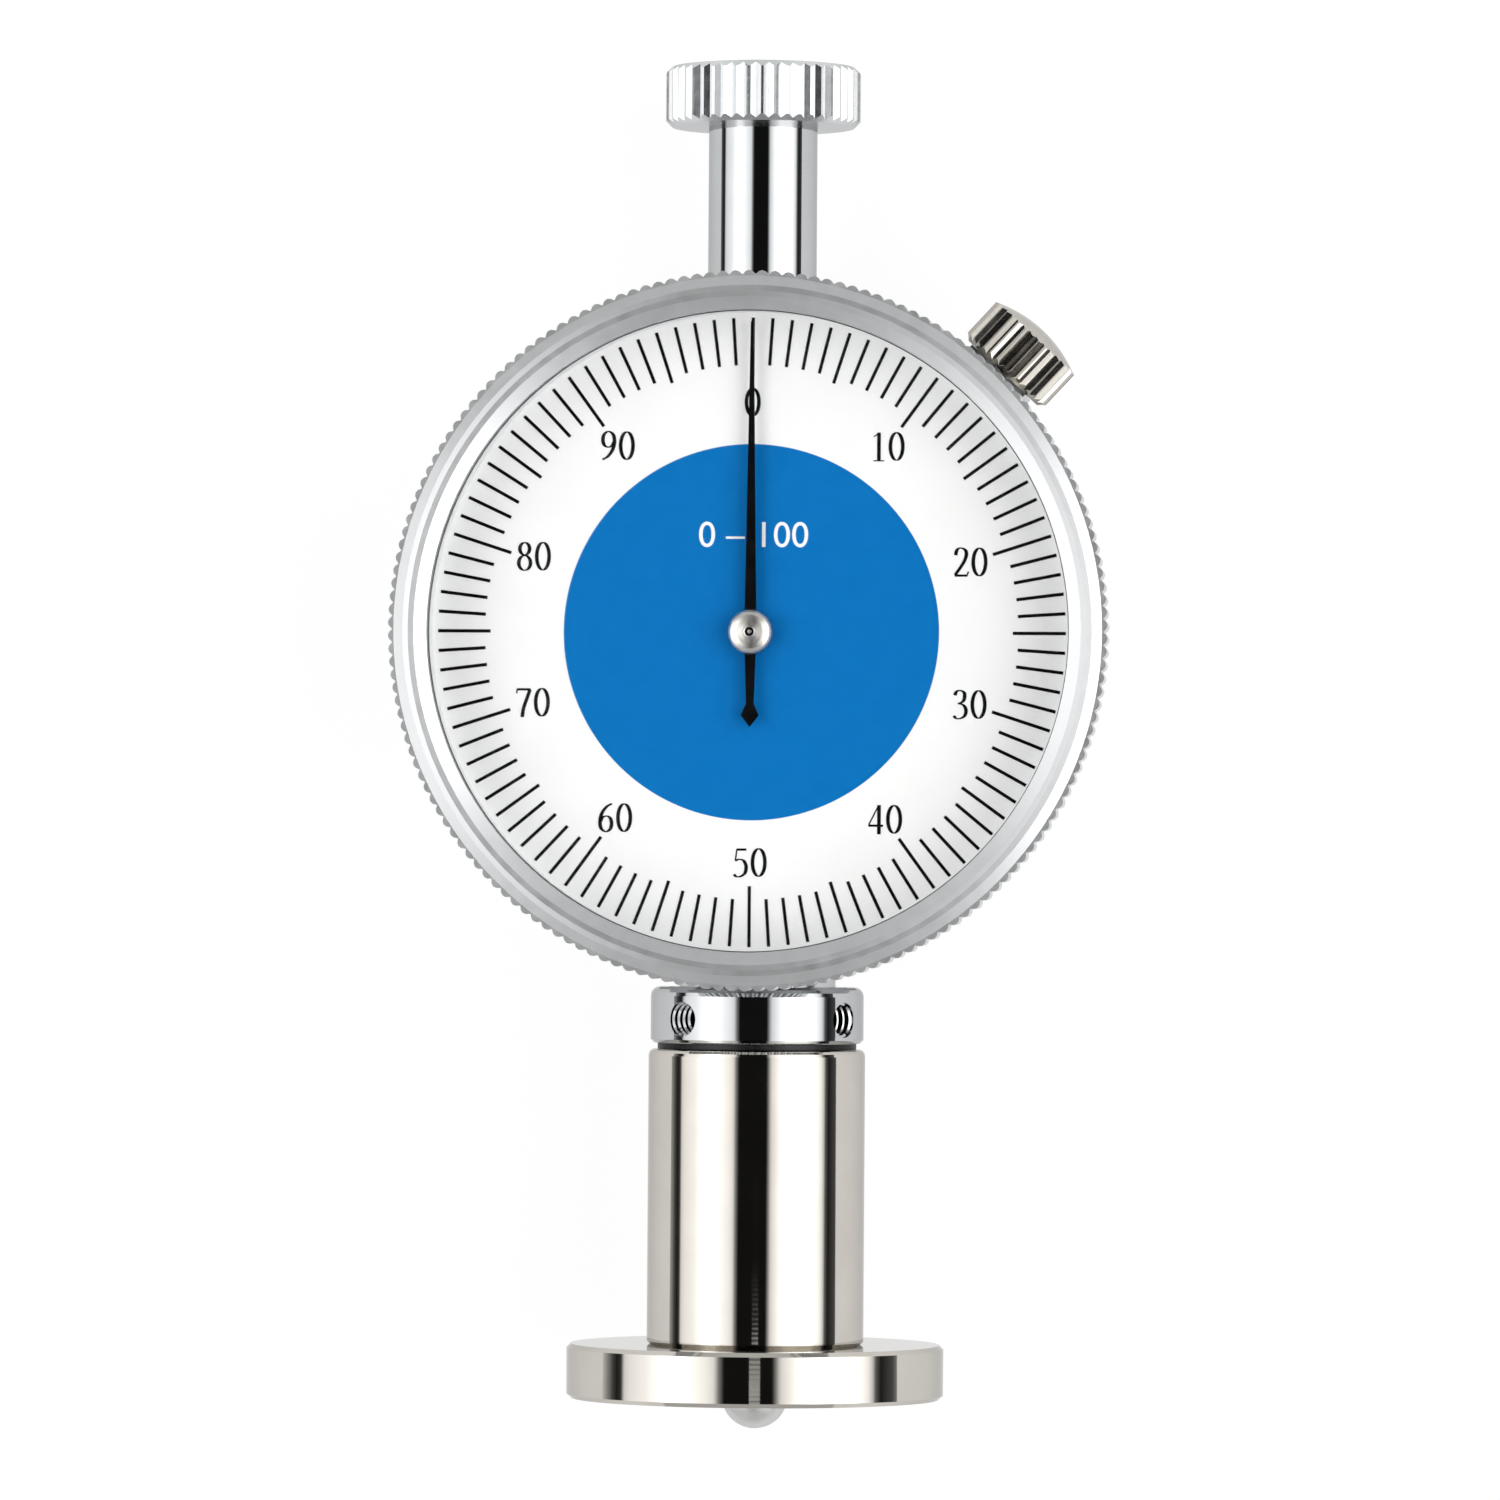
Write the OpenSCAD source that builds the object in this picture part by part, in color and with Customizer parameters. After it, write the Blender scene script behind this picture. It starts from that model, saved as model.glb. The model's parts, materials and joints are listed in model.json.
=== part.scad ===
// Dial durometer with a ball indenter, lying on its back with the dial up, as it can't stand on its ball.
// Each piece is drawn upright: the origin is the tip of the ball on the spindle's axis, +Z runs up the
// spindle and the dial faces -Y. The last module lays the pieces down. All sizes are millimetres.

/* [Indenter and spindle] */
// Diameter of the ball that is pressed into the sample
ball_d = 5.5; // [4.6:0.1:5.9]
// How far the ball stands out of the foot, which is one turn of the pointer
travel = 2.5; // [2:0.1:3]
// Diameter of the spindle
spindle_d = 4; // [3.6:0.1:4.4]
// Diameter of the stem that holds the ball
ball_stem_d = 3.6; // [3:0.1:3.6]
// Diameter of the stud that screws the ball into the spindle
stud_d = 2.4; // [1.6:0.1:2.6]
// Length of that stud
stud_l = 4; // [3:0.5:6]
// Diameter of the pin that stops the spindle turning
guide_pin_d = 1.2; // [0.8:0.1:1.6]
// Height of the guide pin above the middle of the dial
guide_pin_rise = 8; // [6:0.5:10]
// Radial clearance of everything that slides or turns
run_clear = 0.05; // [0.02:0.01:0.08]
// Radial clearance of pieces that are pressed or screwed together
seat_clear = 0.02; // [0.01:0.01:0.04]

/* [Presser foot and column] */
// Diameter of the presser foot
foot_d = 31.3; // [26:0.1:36]
// Thickness of the presser foot
foot_t = 4.5; // [3.8:0.1:7]
// Bevel on the edges of the foot
foot_edge = 0.35; // [0.1:0.05:0.8]
// Clearance of the ball in the hole of the foot
ball_clear = 0.1; // [0.05:0.05:0.2]
// Diameter of the column
column_d = 18; // [16:0.1:19]
// Length of the column from the foot to its shoulder
column_l = 24.5; // [20:0.5:32]
// Rounding of the column's upper edge
column_round = 0.6; // [0.2:0.1:1]
// Bevel of the column's lower edge
column_edge = 0.25; // [0.1:0.05:0.5]
// Diameter of the column's spigot in the foot
spigot_d = 12; // [10:0.5:14]
// Length of that spigot
spigot_l = 2.9; // [2:0.1:3.2]
// Diameter of the column's neck in the collar
neck_d = 8; // [7.6:0.1:8.8]
// Length of that neck
neck_l = 4.4; // [3.6:0.1:4.8]
// Bore of the column, the collar and the tube, which takes the guide bushes
bush_d = 6.4; // [6.2:0.1:6.8]
// Length of a guide bush
bush_l = 5; // [4:0.5:5]

/* [Collar] */
// Diameter of the collar
collar_d = 17.7; // [16:0.1:18]
// Height of the collar
collar_h = 4.7; // [4.4:0.1:5.4]
// Gap between the column's shoulder and the collar, filled by a shim that sets the ball's height
collar_gap = 0.45; // [0.2:0.05:0.8]
// How far the shim stays inside the collar's edge
shim_inset = 0.6; // [0.3:0.05:1]
// Rounding of the collar's upper edge
collar_round = 0.8; // [0.3:0.1:1]
// Bevel of the collar's lower edge
collar_edge = 0.3; // [0.1:0.05:0.5]
// Diameter of the collar's spigot in the case
collar_spigot_d = 11; // [10:0.5:12]
// Diameter of the set screws
set_screw_d = 2.9; // [2:0.1:3]
// Length of a set screw
set_screw_l = 2.2; // [1.8:0.1:3]
// Width across flats of the set screws' hexagon socket
set_screw_socket = 1.5; // [0.9:0.1:1.5]
// Height of the set screws above the bottom of the collar
set_screw_rise = 2; // [1.8:0.1:2.4]
// Angle of the left set screw from the front
set_screw_left = 40; // [20:1:70]
// Angle of the right set screw from the front
set_screw_right = 59; // [20:1:70]

/* [Case] */
// Outside diameter of the case
case_d = 55.8; // [55.2:0.1:56.4]
// Wall of the case
case_wall = 2.5; // [2.2:0.1:2.8]
// Wall of the case's rim, which the bezel turns on
rim_wall = 1.8; // [1.6:0.1:2]
// Depth of the case behind the spindle's axis
case_back = 8.6; // [8:0.1:10]
// Height of the bezel's lowest point above the top of the collar, which it may stand in front of
case_rise = -0.3; // [-0.35:0.05:0.55]
// Diameter of the case's lower boss
lower_boss_d = 13; // [13:0.5:16]
// Diameter of the case's upper boss
upper_boss_d = 12.4; // [11:0.2:12.6]
// Height of the upper boss above the case
upper_boss_h = 1.2; // [0.6:0.1:1.4]
// Width of the shelf that carries the movement
shelf_w = 2.8; // [2.2:0.1:3]
// Thickness of that shelf
shelf_t = 1.6; // [1.2:0.1:1.8]
// Thickness of the back cover
cover_t = 1.5; // [1.2:0.1:2]
// Bevel of the back cover
cover_edge = 0.5; // [0.2:0.1:0.8]
// Thickness of the gasket under the back cover
gasket_t = 0.3; // [0.2:0.1:0.6]
// Diameter of the screws in the back cover
cover_screw_d = 2; // [1.6:0.1:2.4]
// Diameter of their heads
cover_head_d = 3.6; // [3:0.1:3.8]
// Height of their heads
cover_head_h = 0.8; // [0.6:0.1:1]
// Length of their shanks
cover_screw_l = 5; // [4:0.5:5.5]
// Diameter of the lugs that take them
cover_lug_d = 4.4; // [3.8:0.1:4.6]
// Length of those lugs
cover_lug_l = 5.2; // [4.6:0.1:5.6]

/* [Bezel and crystal] */
// Diameter of the bezel over its serrations
bezel_d = 58.9; // [58.6:0.1:59.4]
// Depth of the serrations
serration_h = 0.35; // [0.1:0.05:0.4]
// Number of serrations
serrations = 170; // [60:2:200]
// Diameter of the opening that shows the dial
opening_d = 52.6; // [52:0.1:52.8]
// Width of the lip that holds the crystal
lip_w = 0.95; // [0.8:0.05:1]
// Thickness of that lip at the opening
lip_t = 1; // [0.5:0.1:1.2]
// Width of the bevel from the opening to the front
bevel_w = 1; // [0.8:0.1:1.4]
// Depth of that bevel
bevel_h = 0.6; // [0.5:0.1:1.2]
// Height of the front ring's crown between the bevel and the chamfer
crown_h = 0.1; // [0:0.05:0.2]
// Width of the outer chamfer
chamfer_w = 0.8; // [0.5:0.05:1]
// Depth of that chamfer
chamfer_h = 0.5; // [0.4:0.1:1.2]
// Wall of the skirt behind the serrations
skirt_wall = 1.65; // [1.4:0.05:1.7]
// Length of the case's rim inside the skirt
rim_l = 2; // [1.8:0.1:2.2]
// Diameter of the wire ring that holds the bezel
ring_wire_d = 0.7; // [0.5:0.1:0.8]
// Thickness of the crystal
crystal_t = 1.3; // [0.8:0.1:2]
// Thickness of the dial
dial_t = 0.5; // [0.3:0.1:0.8]
// Diameter of the hole in the dial
dial_hole_d = 2.6; // [2:0.1:3]
// Room for the pointer between the dial and the crystal
pointer_room = 2.3; // [2.1:0.1:3]

/* [Pointer] */
// Length from the middle of the dial to the tip
pointer_l = 25.5; // [22:0.1:25.8]
// Width at the hub
pointer_w = 1; // [0.7:0.05:1.2]
// Width at the tip
pointer_tip_w = 0.24; // [0.15:0.01:0.4]
// Thickness of the pointer
pointer_t = 0.25; // [0.15:0.05:0.4]
// Length of the tail
tail_l = 7.8; // [6:0.1:9]
// Width of the tail at its narrowest
tail_neck_w = 0.64; // [0.4:0.02:0.8]
// Width of the tail's spade
tail_spade_w = 1.48; // [1:0.02:2]
// Length of the tail's spade
tail_spade_l = 1.9; // [1.2:0.1:2.6]
// Diameter of the hub
hub_d = 3.4; // [2.9:0.1:4]
// Height of the hub
hub_h = 1.3; // [1:0.1:1.4]
// Height of the hub above the dial
hub_rise = 0.3; // [0.2:0.05:0.4]

/* [Movement] */
// Teeth of the rack's pinion
rack_pinion_teeth = 16; // [14:1:18]
// Teeth of the transfer gear and of the take-up gear
gear_teeth = 48; // [46:1:48]
// Teeth of the pointer's pinion
pinion_teeth = 12; // [11:1:13]
// Module of the gear and the pointer's pinion
gear_module = 0.4; // [0.39:0.01:0.41]
// Thickness of a gear
gear_t = 0.8; // [0.6:0.1:1]
// Play between teeth at the pitch line
tooth_play = 0.08; // [0.05:0.01:0.1]
// Depth of the flat that the rack is cut in
rack_flat = 0.5; // [0.4:0.05:0.6]
// Length of the rack's pinion
rack_pinion_l = 3.4; // [3:0.1:3.8]
// Diameter of an arbor
arbor_d = 1.6; // [1.4:0.1:1.7]
// Diameter of an arbor's pivots
pivot_d = 0.9; // [0.6:0.1:1]
// Diameter of the hub of a gear
gear_hub_d = 3.6; // [3:0.1:4]
// Diameter of the holes that lighten a gear
gear_hole_d = 4.2; // [3:0.1:4.4]
// Thickness of a movement plate
plate_t = 1; // [0.8:0.1:1.2]
// Diameter of the rear plate
rear_plate_d = 38.6; // [38:0.2:40]
// Thickness of the cock behind the pointer's pinion
cock_t = 0.9; // [0.7:0.1:1.1]
// Width of the cock
cock_w = 4; // [3:0.1:4.4]
// Distance of the cock's pillars from the middle of the dial
cock_reach = 9.4; // [9.2:0.1:9.8]
// Diameter of the pillars
pillar_d = 3.2; // [2.8:0.1:3.4]
// Distance of the rear plate's pillars from the middle of the dial
pillar_reach = 17.3; // [17:0.1:17.5]
// Diameter of the movement's screws
screw_d = 1.2; // [1:0.1:1.4]
// Diameter of their heads
screw_head_d = 2.4; // [2:0.1:2.8]
// Height of their heads
screw_head_h = 0.7; // [0.5:0.1:0.75]
// Length of their shanks
screw_l = 2.2; // [1.9:0.1:2.5]
// Thickness of the hairspring
hairspring_t = 0.14; // [0.1:0.02:0.2]
// Height of the hairspring's strip
hairspring_h = 0.5; // [0.3:0.1:0.8]
// Turns of the hairspring
hairspring_turns = 4; // [3:1:5]
// Distance between turns of the hairspring
hairspring_pitch = 0.55; // [0.4:0.05:0.6]
// Diameter of the stud that holds the hairspring
hairspring_stud_d = 0.8; // [0.6:0.1:1]

/* [Main spring, tube and cap] */
// Diameter of the spring's wire
wire_d = 0.6; // [0.4:0.05:0.7]
// Mean diameter of the spring
spring_d = 4.6; // [4.4:0.1:4.8]
// Turns of the spring
spring_turns = 6.5; // [5:0.5:7]
// Diameter of the spindle's flange under the spring
seat_d = 5.9; // [5.4:0.1:6]
// Thickness of that flange
seat_t = 0.7; // [0.5:0.1:1]
// Diameter of the spindle's pilot inside the spring
pilot_d = 2.8; // [2.4:0.1:3.2]
// Thickness of the spring adjuster
adjuster_t = 2; // [1.5:0.1:2.4]
// Width of a screwdriver slot
slot_w = 0.8; // [0.5:0.1:1]
// Outside diameter of the tube
tube_d = 9.05; // [8.6:0.05:9.4]
// Length of the tube
tube_l = 17.85; // [17:0.05:21]
// Diameter of the cap
cap_d = 16.2; // [13:0.1:20]
// Height of the cap
cap_h = 4.95; // [4:0.05:7]
// Bevel of the cap
cap_edge = 0.5; // [0.3:0.1:0.9]
// Number of ridges around the cap
cap_ridges = 48; // [24:2:60]
// Depth of a knurled ridge
ridge_h = 0.3; // [0.1:0.05:0.4]
// Length of the cap's spigot in the tube
cap_spigot_l = 1.65; // [1:0.05:2]

/* [Bezel clamp] */
// Angle of the clamp screw from the right, seen from the front
clamp_angle = 47; // [35:1:55]
// Diameter of the clamp screw's head
clamp_d = 8.8; // [7.6:0.1:9]
// Height of the head's knurled part
clamp_h = 3.9; // [3:0.1:5]
// Height of the head's dome
clamp_dome = 0.95; // [0.5:0.05:1.4]
// Bevel at the base of the head
clamp_edge = 0.5; // [0.3:0.1:0.8]
// Number of ridges around the head
clamp_ridges = 34; // [20:1:40]
// Diameter of the clamp screw's thread
clamp_thread_d = 3; // [2.5:0.1:3.2]
// Forward distance of the clamp screw from the spindle's axis
clamp_forward = 3.1; // [3:0.1:3.2]
// Depth of the flat on the case under the clamp's jaw
clamp_flat = 1; // [0.8:0.1:1.2]
// Width of the jaw
jaw_w = 6; // [5:0.1:7]
// Half length of the jaw behind the screw
jaw_back = 2.9; // [2.4:0.1:3]
// Thickness of the jaw's lip over the skirt
jaw_lip = 0.65; // [0.5:0.05:0.8]

/* [Hidden] */
$fn = 64;

// Gaps beside moving pieces
move_gap = 0.3;
end_play = 0.15;
// Gaps between the layers of the movement
layer_gap = 0.6;
spindle_gap = 0.5;
rear_gap = 0.8;
dial_gap = 0.4;
// Cutting tools run this far past the faces that they cut
past = 1;

// Heights up the spindle's axis
foot_z = travel;
foot_top = foot_z + foot_t;
column_top = foot_top + column_l;
collar_bottom = column_top + collar_gap;
collar_top = collar_bottom + collar_h;
ball_r = ball_d / 2;
spindle_r = spindle_d / 2;
bush_r = bush_d / 2;
stem_show = 1.5;
spindle_bottom = max(foot_top, ball_d) + stem_show;
lower_bush_z = ball_d + travel + 2 * move_gap;

// Radii around the dial's axis
case_r = case_d / 2;
case_inner_r = case_r - case_wall;
bezel_r = bezel_d / 2;
bezel_root_r = bezel_r - serration_h;
opening_r = opening_d / 2;
bore_r = opening_r + lip_w;
skirt_r = bore_r + skirt_wall;
rim_r = bore_r - run_clear;
rim_inner_r = rim_r - rim_wall;
shelf_r = rim_inner_r - shelf_w;
ring_wire_r = ring_wire_d / 2;

// Height of the dial's axis: the bezel follows the collar, and the case stays clear of it
collar_clear = 1;
dial_z = collar_top + max(bezel_r + case_rise, case_r + collar_clear);

// Distances in front of the spindle's axis
cock_rear = spindle_r + spindle_gap;
cock_front = cock_rear + cock_t;
gear_rear = cock_front + layer_gap;
gear_front = gear_rear + gear_t;
hairspring_rear = gear_front + layer_gap;
plate_rear = hairspring_rear + hairspring_h + layer_gap;
plate_front = plate_rear + plate_t;
dial_rear = plate_front + screw_head_h + dial_gap;
dial_front = dial_rear + dial_t;
crystal_rear = dial_front + pointer_room;
crystal_front = crystal_rear + crystal_t;
lip_front = crystal_front + lip_t;
ring_edge = lip_front + bevel_h;
bezel_front = ring_edge + crown_h;
rim_front = dial_rear - move_gap;
shoulder = rim_front - rim_l;
skirt_rear = shoulder + move_gap;
band_rear = max(collar_d / 2 + move_gap, skirt_rear + move_gap);
ring_wire_forward = (skirt_rear + rim_front) / 2;
hub_rear = dial_front + hub_rise;
pointer_rear = hub_rear + hub_h / 3;

// Distances behind the spindle's axis
rear_plate_near = spindle_r + rear_gap;
rear_plate_far = rear_plate_near + plate_t;
cover_near = case_back + gasket_t;
cover_far = cover_near + cover_t;

// Gear train: one turn of the pointer for the full travel of the rack
pressure_angle = 20;
addendum = 0.75;
dedendum = 1.1;
train_ratio = gear_teeth / pinion_teeth;
rack_module = travel * train_ratio / (PI * rack_pinion_teeth);
rack_pitch = PI * rack_module;
rack_play = tooth_play * rack_module / gear_module;
rack_pinion_r = rack_pinion_teeth * rack_module / 2;
rack_pinion_tip = rack_pinion_r + addendum * rack_module;
rack_tip_x = -(spindle_r - rack_flat);
rack_root_x = rack_tip_x + (addendum + dedendum) * rack_module;
gear_r = gear_teeth * gear_module / 2;
pinion_r = pinion_teeth * gear_module / 2;
gear_distance = gear_r + pinion_r;
rack_arbor_x = rack_tip_x + addendum * rack_module - rack_pinion_r;
rack_arbor_h = -sqrt(gear_distance ^ 2 - rack_arbor_x ^ 2);
rack_arbor_z = dial_z + rack_arbor_h;
rack_spaces = 2 * ceil((travel / 2 + rack_pinion_tip) / rack_pitch) + 3;
mesh_angle = atan2(-rack_arbor_h, -rack_arbor_x);
takeup_angle = 45;
takeup_x = gear_distance * cos(takeup_angle);
takeup_h = gear_distance * sin(takeup_angle);
pinion_step = 360 / pinion_teeth;
pinion_turn = mesh_angle + 180 - pinion_step / 2;
space_before = pinion_turn + pinion_step / 2 - takeup_angle;
space_offset = space_before - pinion_step * round(space_before / pinion_step);
takeup_turn = takeup_angle + 180 - space_offset / train_ratio;
arbor_r = arbor_d / 2;
pivot_r = pivot_d / 2;

// Hairspring around the take-up arbor
hairspring_inner_r = arbor_r + hairspring_t + run_clear;
hairspring_outer_r = hairspring_inner_r + hairspring_pitch * hairspring_turns;
hairspring_steps = 24;
hairspring_stud_reach = hairspring_outer_r + (hairspring_t + hairspring_stud_d) / 2 + seat_clear;

// Pillars and screws of the movement, as angles around the dial
pillar_angles = [122, 204, 323];
plate_screw_angles = [0, 120, 240];
cock_angles = [148, 328];
cover_screw_angles = [45, 135, 225, 315];
cock_edge = 0.5;
plate_screw_reach = rim_inner_r - shelf_w / 2;

// Tube, spring and cap above the case
tube_r = tube_d / 2;
tube_inside = 1;
tube_bottom = dial_z + case_inner_r - tube_inside;
tube_top = tube_bottom + tube_l;
upper_bush_z = tube_bottom + move_gap;
seat_z = upper_bush_z + bush_l + run_clear;
spring_bottom = seat_z + seat_t;
adjuster_top = tube_top - cap_spigot_l - move_gap;
spring_top = adjuster_top - adjuster_t;
spring_l = spring_top - spring_bottom;
pilot_l = max(0.5, spring_l - travel - 5 * move_gap);
wire_r = wire_d / 2;
coil_close = 1.05 * wire_d;
coil_steps = 16;
coil_sides = 8;

// Bezel clamp, as distances from the dial's axis
jaw_seat = case_r - clamp_flat + run_clear;
jaw_lip_seat = skirt_r + run_clear;
jaw_least = 2;
jaw_top = max(jaw_lip_seat + jaw_lip, bezel_r + 2 * run_clear, jaw_seat + jaw_least);
clamp_base = jaw_top + run_clear;
clamp_inside = 1.5;
clamp_tip = case_inner_r - clamp_inside;
clamp_boss_wall = 1.6;
clamp_boss_d = clamp_thread_d + 2 * clamp_boss_wall;
clamp_boss_l = 2.2;
dome_r = ((clamp_d / 2) ^ 2 + clamp_dome ^ 2) / (2 * clamp_dome);

// Rest on the back, on the rim of the foot and the upper edge of the back cover
rest_low = foot_top - foot_edge;
rest_high = dial_z + case_r - cover_edge;
lean = atan((foot_d / 2 - cover_far) / (rest_high - rest_low));
rest_lift = foot_d / 2 * cos(lean) + rest_low * sin(lean);
cap_end = (cap_d / 2 - cap_edge) * sin(lean) + (tube_top + cap_h) * cos(lean);
ball_end = ball_r * (cos(lean) - 1);

// Points along a circular arc
function arc(centre, r, from, to, steps = 4) =
    [for (i = [0:steps]) let (a = from + (to - from) * i / steps) centre + r * [cos(a), sin(a)]];

// Outline with round-backed serrations
function serrated(count, root, height) =
    [for (i = [0:count * 4 - 1])
        let (r = root + height * sin(45 * (i % 4)) ^ 0.8, a = 90 * i / count)
        r * [cos(a), sin(a)]];

// Outline with sharp grooves between narrow flat-topped ridges
function ridged(count, r, height) =
    [for (i = [0:count - 1], p = [[0, 1], [0.4, 0], [0.6, 0]])
        let (a = 360 * (i + p[0]) / count)
        (r - height * p[1]) * [cos(a), sin(a)]];

// Involute of a base circle as an angle, and half of a tooth's angle at a radius
function involute(base, r) =
    let (a = acos(min(1, base / r))) tan(a) * 180 / PI - a;

function tooth_half(base, pitch_r, half, r) =
    half + involute(base, pitch_r) - involute(base, max(r, base));

// Outline of a spur gear with one tooth at the angle turn
function gear_outline(teeth, module_size, play, turn) =
    let (
        pitch_r = teeth * module_size / 2,
        base = pitch_r * cos(pressure_angle),
        root = pitch_r - dedendum * module_size,
        tip = pitch_r + addendum * module_size,
        half = 90 / teeth - play / 2 / pitch_r * 180 / PI,
        radii = [for (i = [0:3]) root + (tip - root) * i / 3]
    )
    [for (tooth = [0:teeth - 1], side = [-1, 1], i = [0:3])
        let (
            r = radii[side < 0 ? i : 3 - i],
            a = turn + tooth * 360 / teeth + side * tooth_half(base, pitch_r, half, r)
        )
        r * [cos(a), sin(a)]];

// Revolves a profile of radius and height around the spindle's axis
module turned(profile) {
    rotate_extrude() polygon(profile);
}

// Stands a shape up to face the front: its Z becomes the distance forward
module facing(forward = 0, at = [0, 0]) {
    translate([at[0], -forward, dial_z + at[1]]) rotate([90, 0, 0]) children();
}

// Revolves a profile of radius and distance forward around the dial's axis
module dial_turned(profile) {
    facing() rotate_extrude() polygon(profile);
}

// A round bar from one distance forward to another
module dial_rod(r, from, to, at = [0, 0]) {
    facing(from, at) cylinder(r = r, h = to - from);
}

// A flat shape cut from sheet, from one distance forward to another
module dial_sheet(from, to, at = [0, 0]) {
    facing(from, at) linear_extrude(to - from) children();
}

// A point at a reach and angle around the dial
function around(reach, angle) = reach * [cos(angle), sin(angle)];

// Turns +Z to run outward along the clamp screw
module along_clamp() {
    translate([0, 0, dial_z]) rotate([0, 90 - clamp_angle, 0]) children();
}

// Turns +Z to run outward along each set screw
module along_set_screws() {
    for (angle = [-set_screw_left, set_screw_right])
        translate([0, 0, collar_bottom + set_screw_rise])
            rotate([0, 0, angle]) rotate([90, 0, 0]) children();
}

// A slotted cheese head on a plain shank, with the head's seat at zero and the head above
module slotted_screw(head_d, head_h, shank_d, shank_l) {
    difference() {
        union() {
            cylinder(d = head_d, h = head_h);
            translate([0, 0, -shank_l]) cylinder(d = shank_d, h = shank_l + head_h / 2);
        }
        translate([-head_d, -slot_w / 4, head_h / 2]) cube([2 * head_d, slot_w / 2, head_h]);
    }
}

module guide_bush(z) {
    color("goldenrod") translate([0, 0, z]) difference() {
        cylinder(r = bush_r - seat_clear, h = bush_l);
        translate([0, 0, -past]) cylinder(r = spindle_r + run_clear, h = bush_l + 2 * past);
    }
}

// Presser foot: a bevelled disc whose underside is the measuring face
module presser_foot() {
    r = foot_d / 2;
    hole_r = ball_r + ball_clear;
    socket_r = spigot_d / 2 + seat_clear;
    socket_z = foot_top - spigot_l - 2 * run_clear;
    color("lightgray") turned([
        [hole_r, foot_z], [r - foot_edge, foot_z], [r, foot_z + foot_edge], [r, foot_top - foot_edge],
        [r - foot_edge, foot_top], [socket_r, foot_top], [socket_r, socket_z], [hole_r, socket_z]
    ]);
}

// Column: a hollow turned sleeve with a spigot below and a neck above
module column() {
    r = column_d / 2;
    color("lightgray") turned(concat(
        [
            [bush_r, foot_top - spigot_l], [spigot_d / 2, foot_top - spigot_l], [spigot_d / 2, foot_top],
            [r - column_edge, foot_top], [r, foot_top + column_edge]
        ],
        arc([r - column_round, column_top - column_round], column_round, 0, 90),
        [
            [neck_d / 2, column_top], [neck_d / 2, column_top + neck_l], [bush_r, column_top + neck_l]
        ]
    ));
}

// Shim: a washer between the column's shoulder and the collar
module shim_ring() {
    color("black") translate([0, 0, column_top]) difference() {
        cylinder(r = collar_d / 2 - shim_inset, h = collar_gap);
        translate([0, 0, -past]) cylinder(r = neck_d / 2 + seat_clear, h = collar_gap + 2 * past);
    }
}

// Collar: holds the column's neck with set screws and is pressed into the case
module stem_collar() {
    r = collar_d / 2;
    neck_r = neck_d / 2 + seat_clear;
    socket_top = column_top + neck_l + move_gap;
    spigot_r = collar_spigot_d / 2;
    spigot_top = socket_top + bush_l + move_gap;
    color("silver") difference() {
        turned(concat(
            [
                [neck_r, collar_bottom], [r - collar_edge, collar_bottom], [r, collar_bottom + collar_edge]
            ],
            arc([r - collar_round, collar_top - collar_round], collar_round, 0, 90),
            [
                [spigot_r, collar_top], [spigot_r, spigot_top], [bush_r, spigot_top],
                [bush_r, socket_top], [neck_r, socket_top]
            ]
        ));
        along_set_screws() translate([0, 0, neck_d / 2 - past]) cylinder(d = set_screw_d, h = r);
    }
}

// Set screws: hexagon-socket screws that bear on the column's neck
module set_screws() {
    color("dimgray") along_set_screws() translate([0, 0, neck_d / 2 + seat_clear]) difference() {
        cylinder(d = set_screw_d - 2 * seat_clear, h = set_screw_l);
        translate([0, 0, set_screw_l / 2])
            cylinder(d = set_screw_socket / cos(30), h = set_screw_l, $fn = 6);
    }
}

module lower_guide_bush() {
    guide_bush(lower_bush_z);
}

module collar_guide_bush() {
    guide_bush(column_top + neck_l + move_gap);
}

module upper_guide_bush() {
    guide_bush(upper_bush_z);
}

// Indenter: a ball on a stem that screws into the spindle
module ball_indenter() {
    color("whitesmoke") union() {
        translate([0, 0, ball_r]) sphere(r = ball_r);
        translate([0, 0, ball_r]) cylinder(d = ball_stem_d, h = spindle_bottom - ball_r);
        translate([0, 0, ball_r]) cylinder(d = stud_d, h = spindle_bottom - ball_r + stud_l);
    }
}

// Outline of what is cut away to leave the rack's teeth, in X and height
function rack_cut() =
    let (
        slope = tan(pressure_angle) * rack_module,
        mid_w = rack_pitch / 2 + rack_play,
        mouth = mid_w / 2 + addendum * slope,
        floor_w = mid_w / 2 - dedendum * slope,
        low = -(rack_spaces - 1) / 2 - ceil(travel / 2 / rack_pitch),
        top = low + rack_spaces - 1,
        end = rack_pitch / 2
    )
    concat(
        [[-spindle_r - past, low * rack_pitch - end], [rack_tip_x, low * rack_pitch - end]],
        [for (i = [low:top], p = [[-1, 0], [-1, 1], [1, 1], [1, 0]])
            p[1] == 0
                ? [rack_tip_x, i * rack_pitch + p[0] * mouth]
                : [rack_root_x, i * rack_pitch + p[0] * floor_w]],
        [[rack_tip_x, top * rack_pitch + end], [-spindle_r - past, top * rack_pitch + end]]
    );

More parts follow.
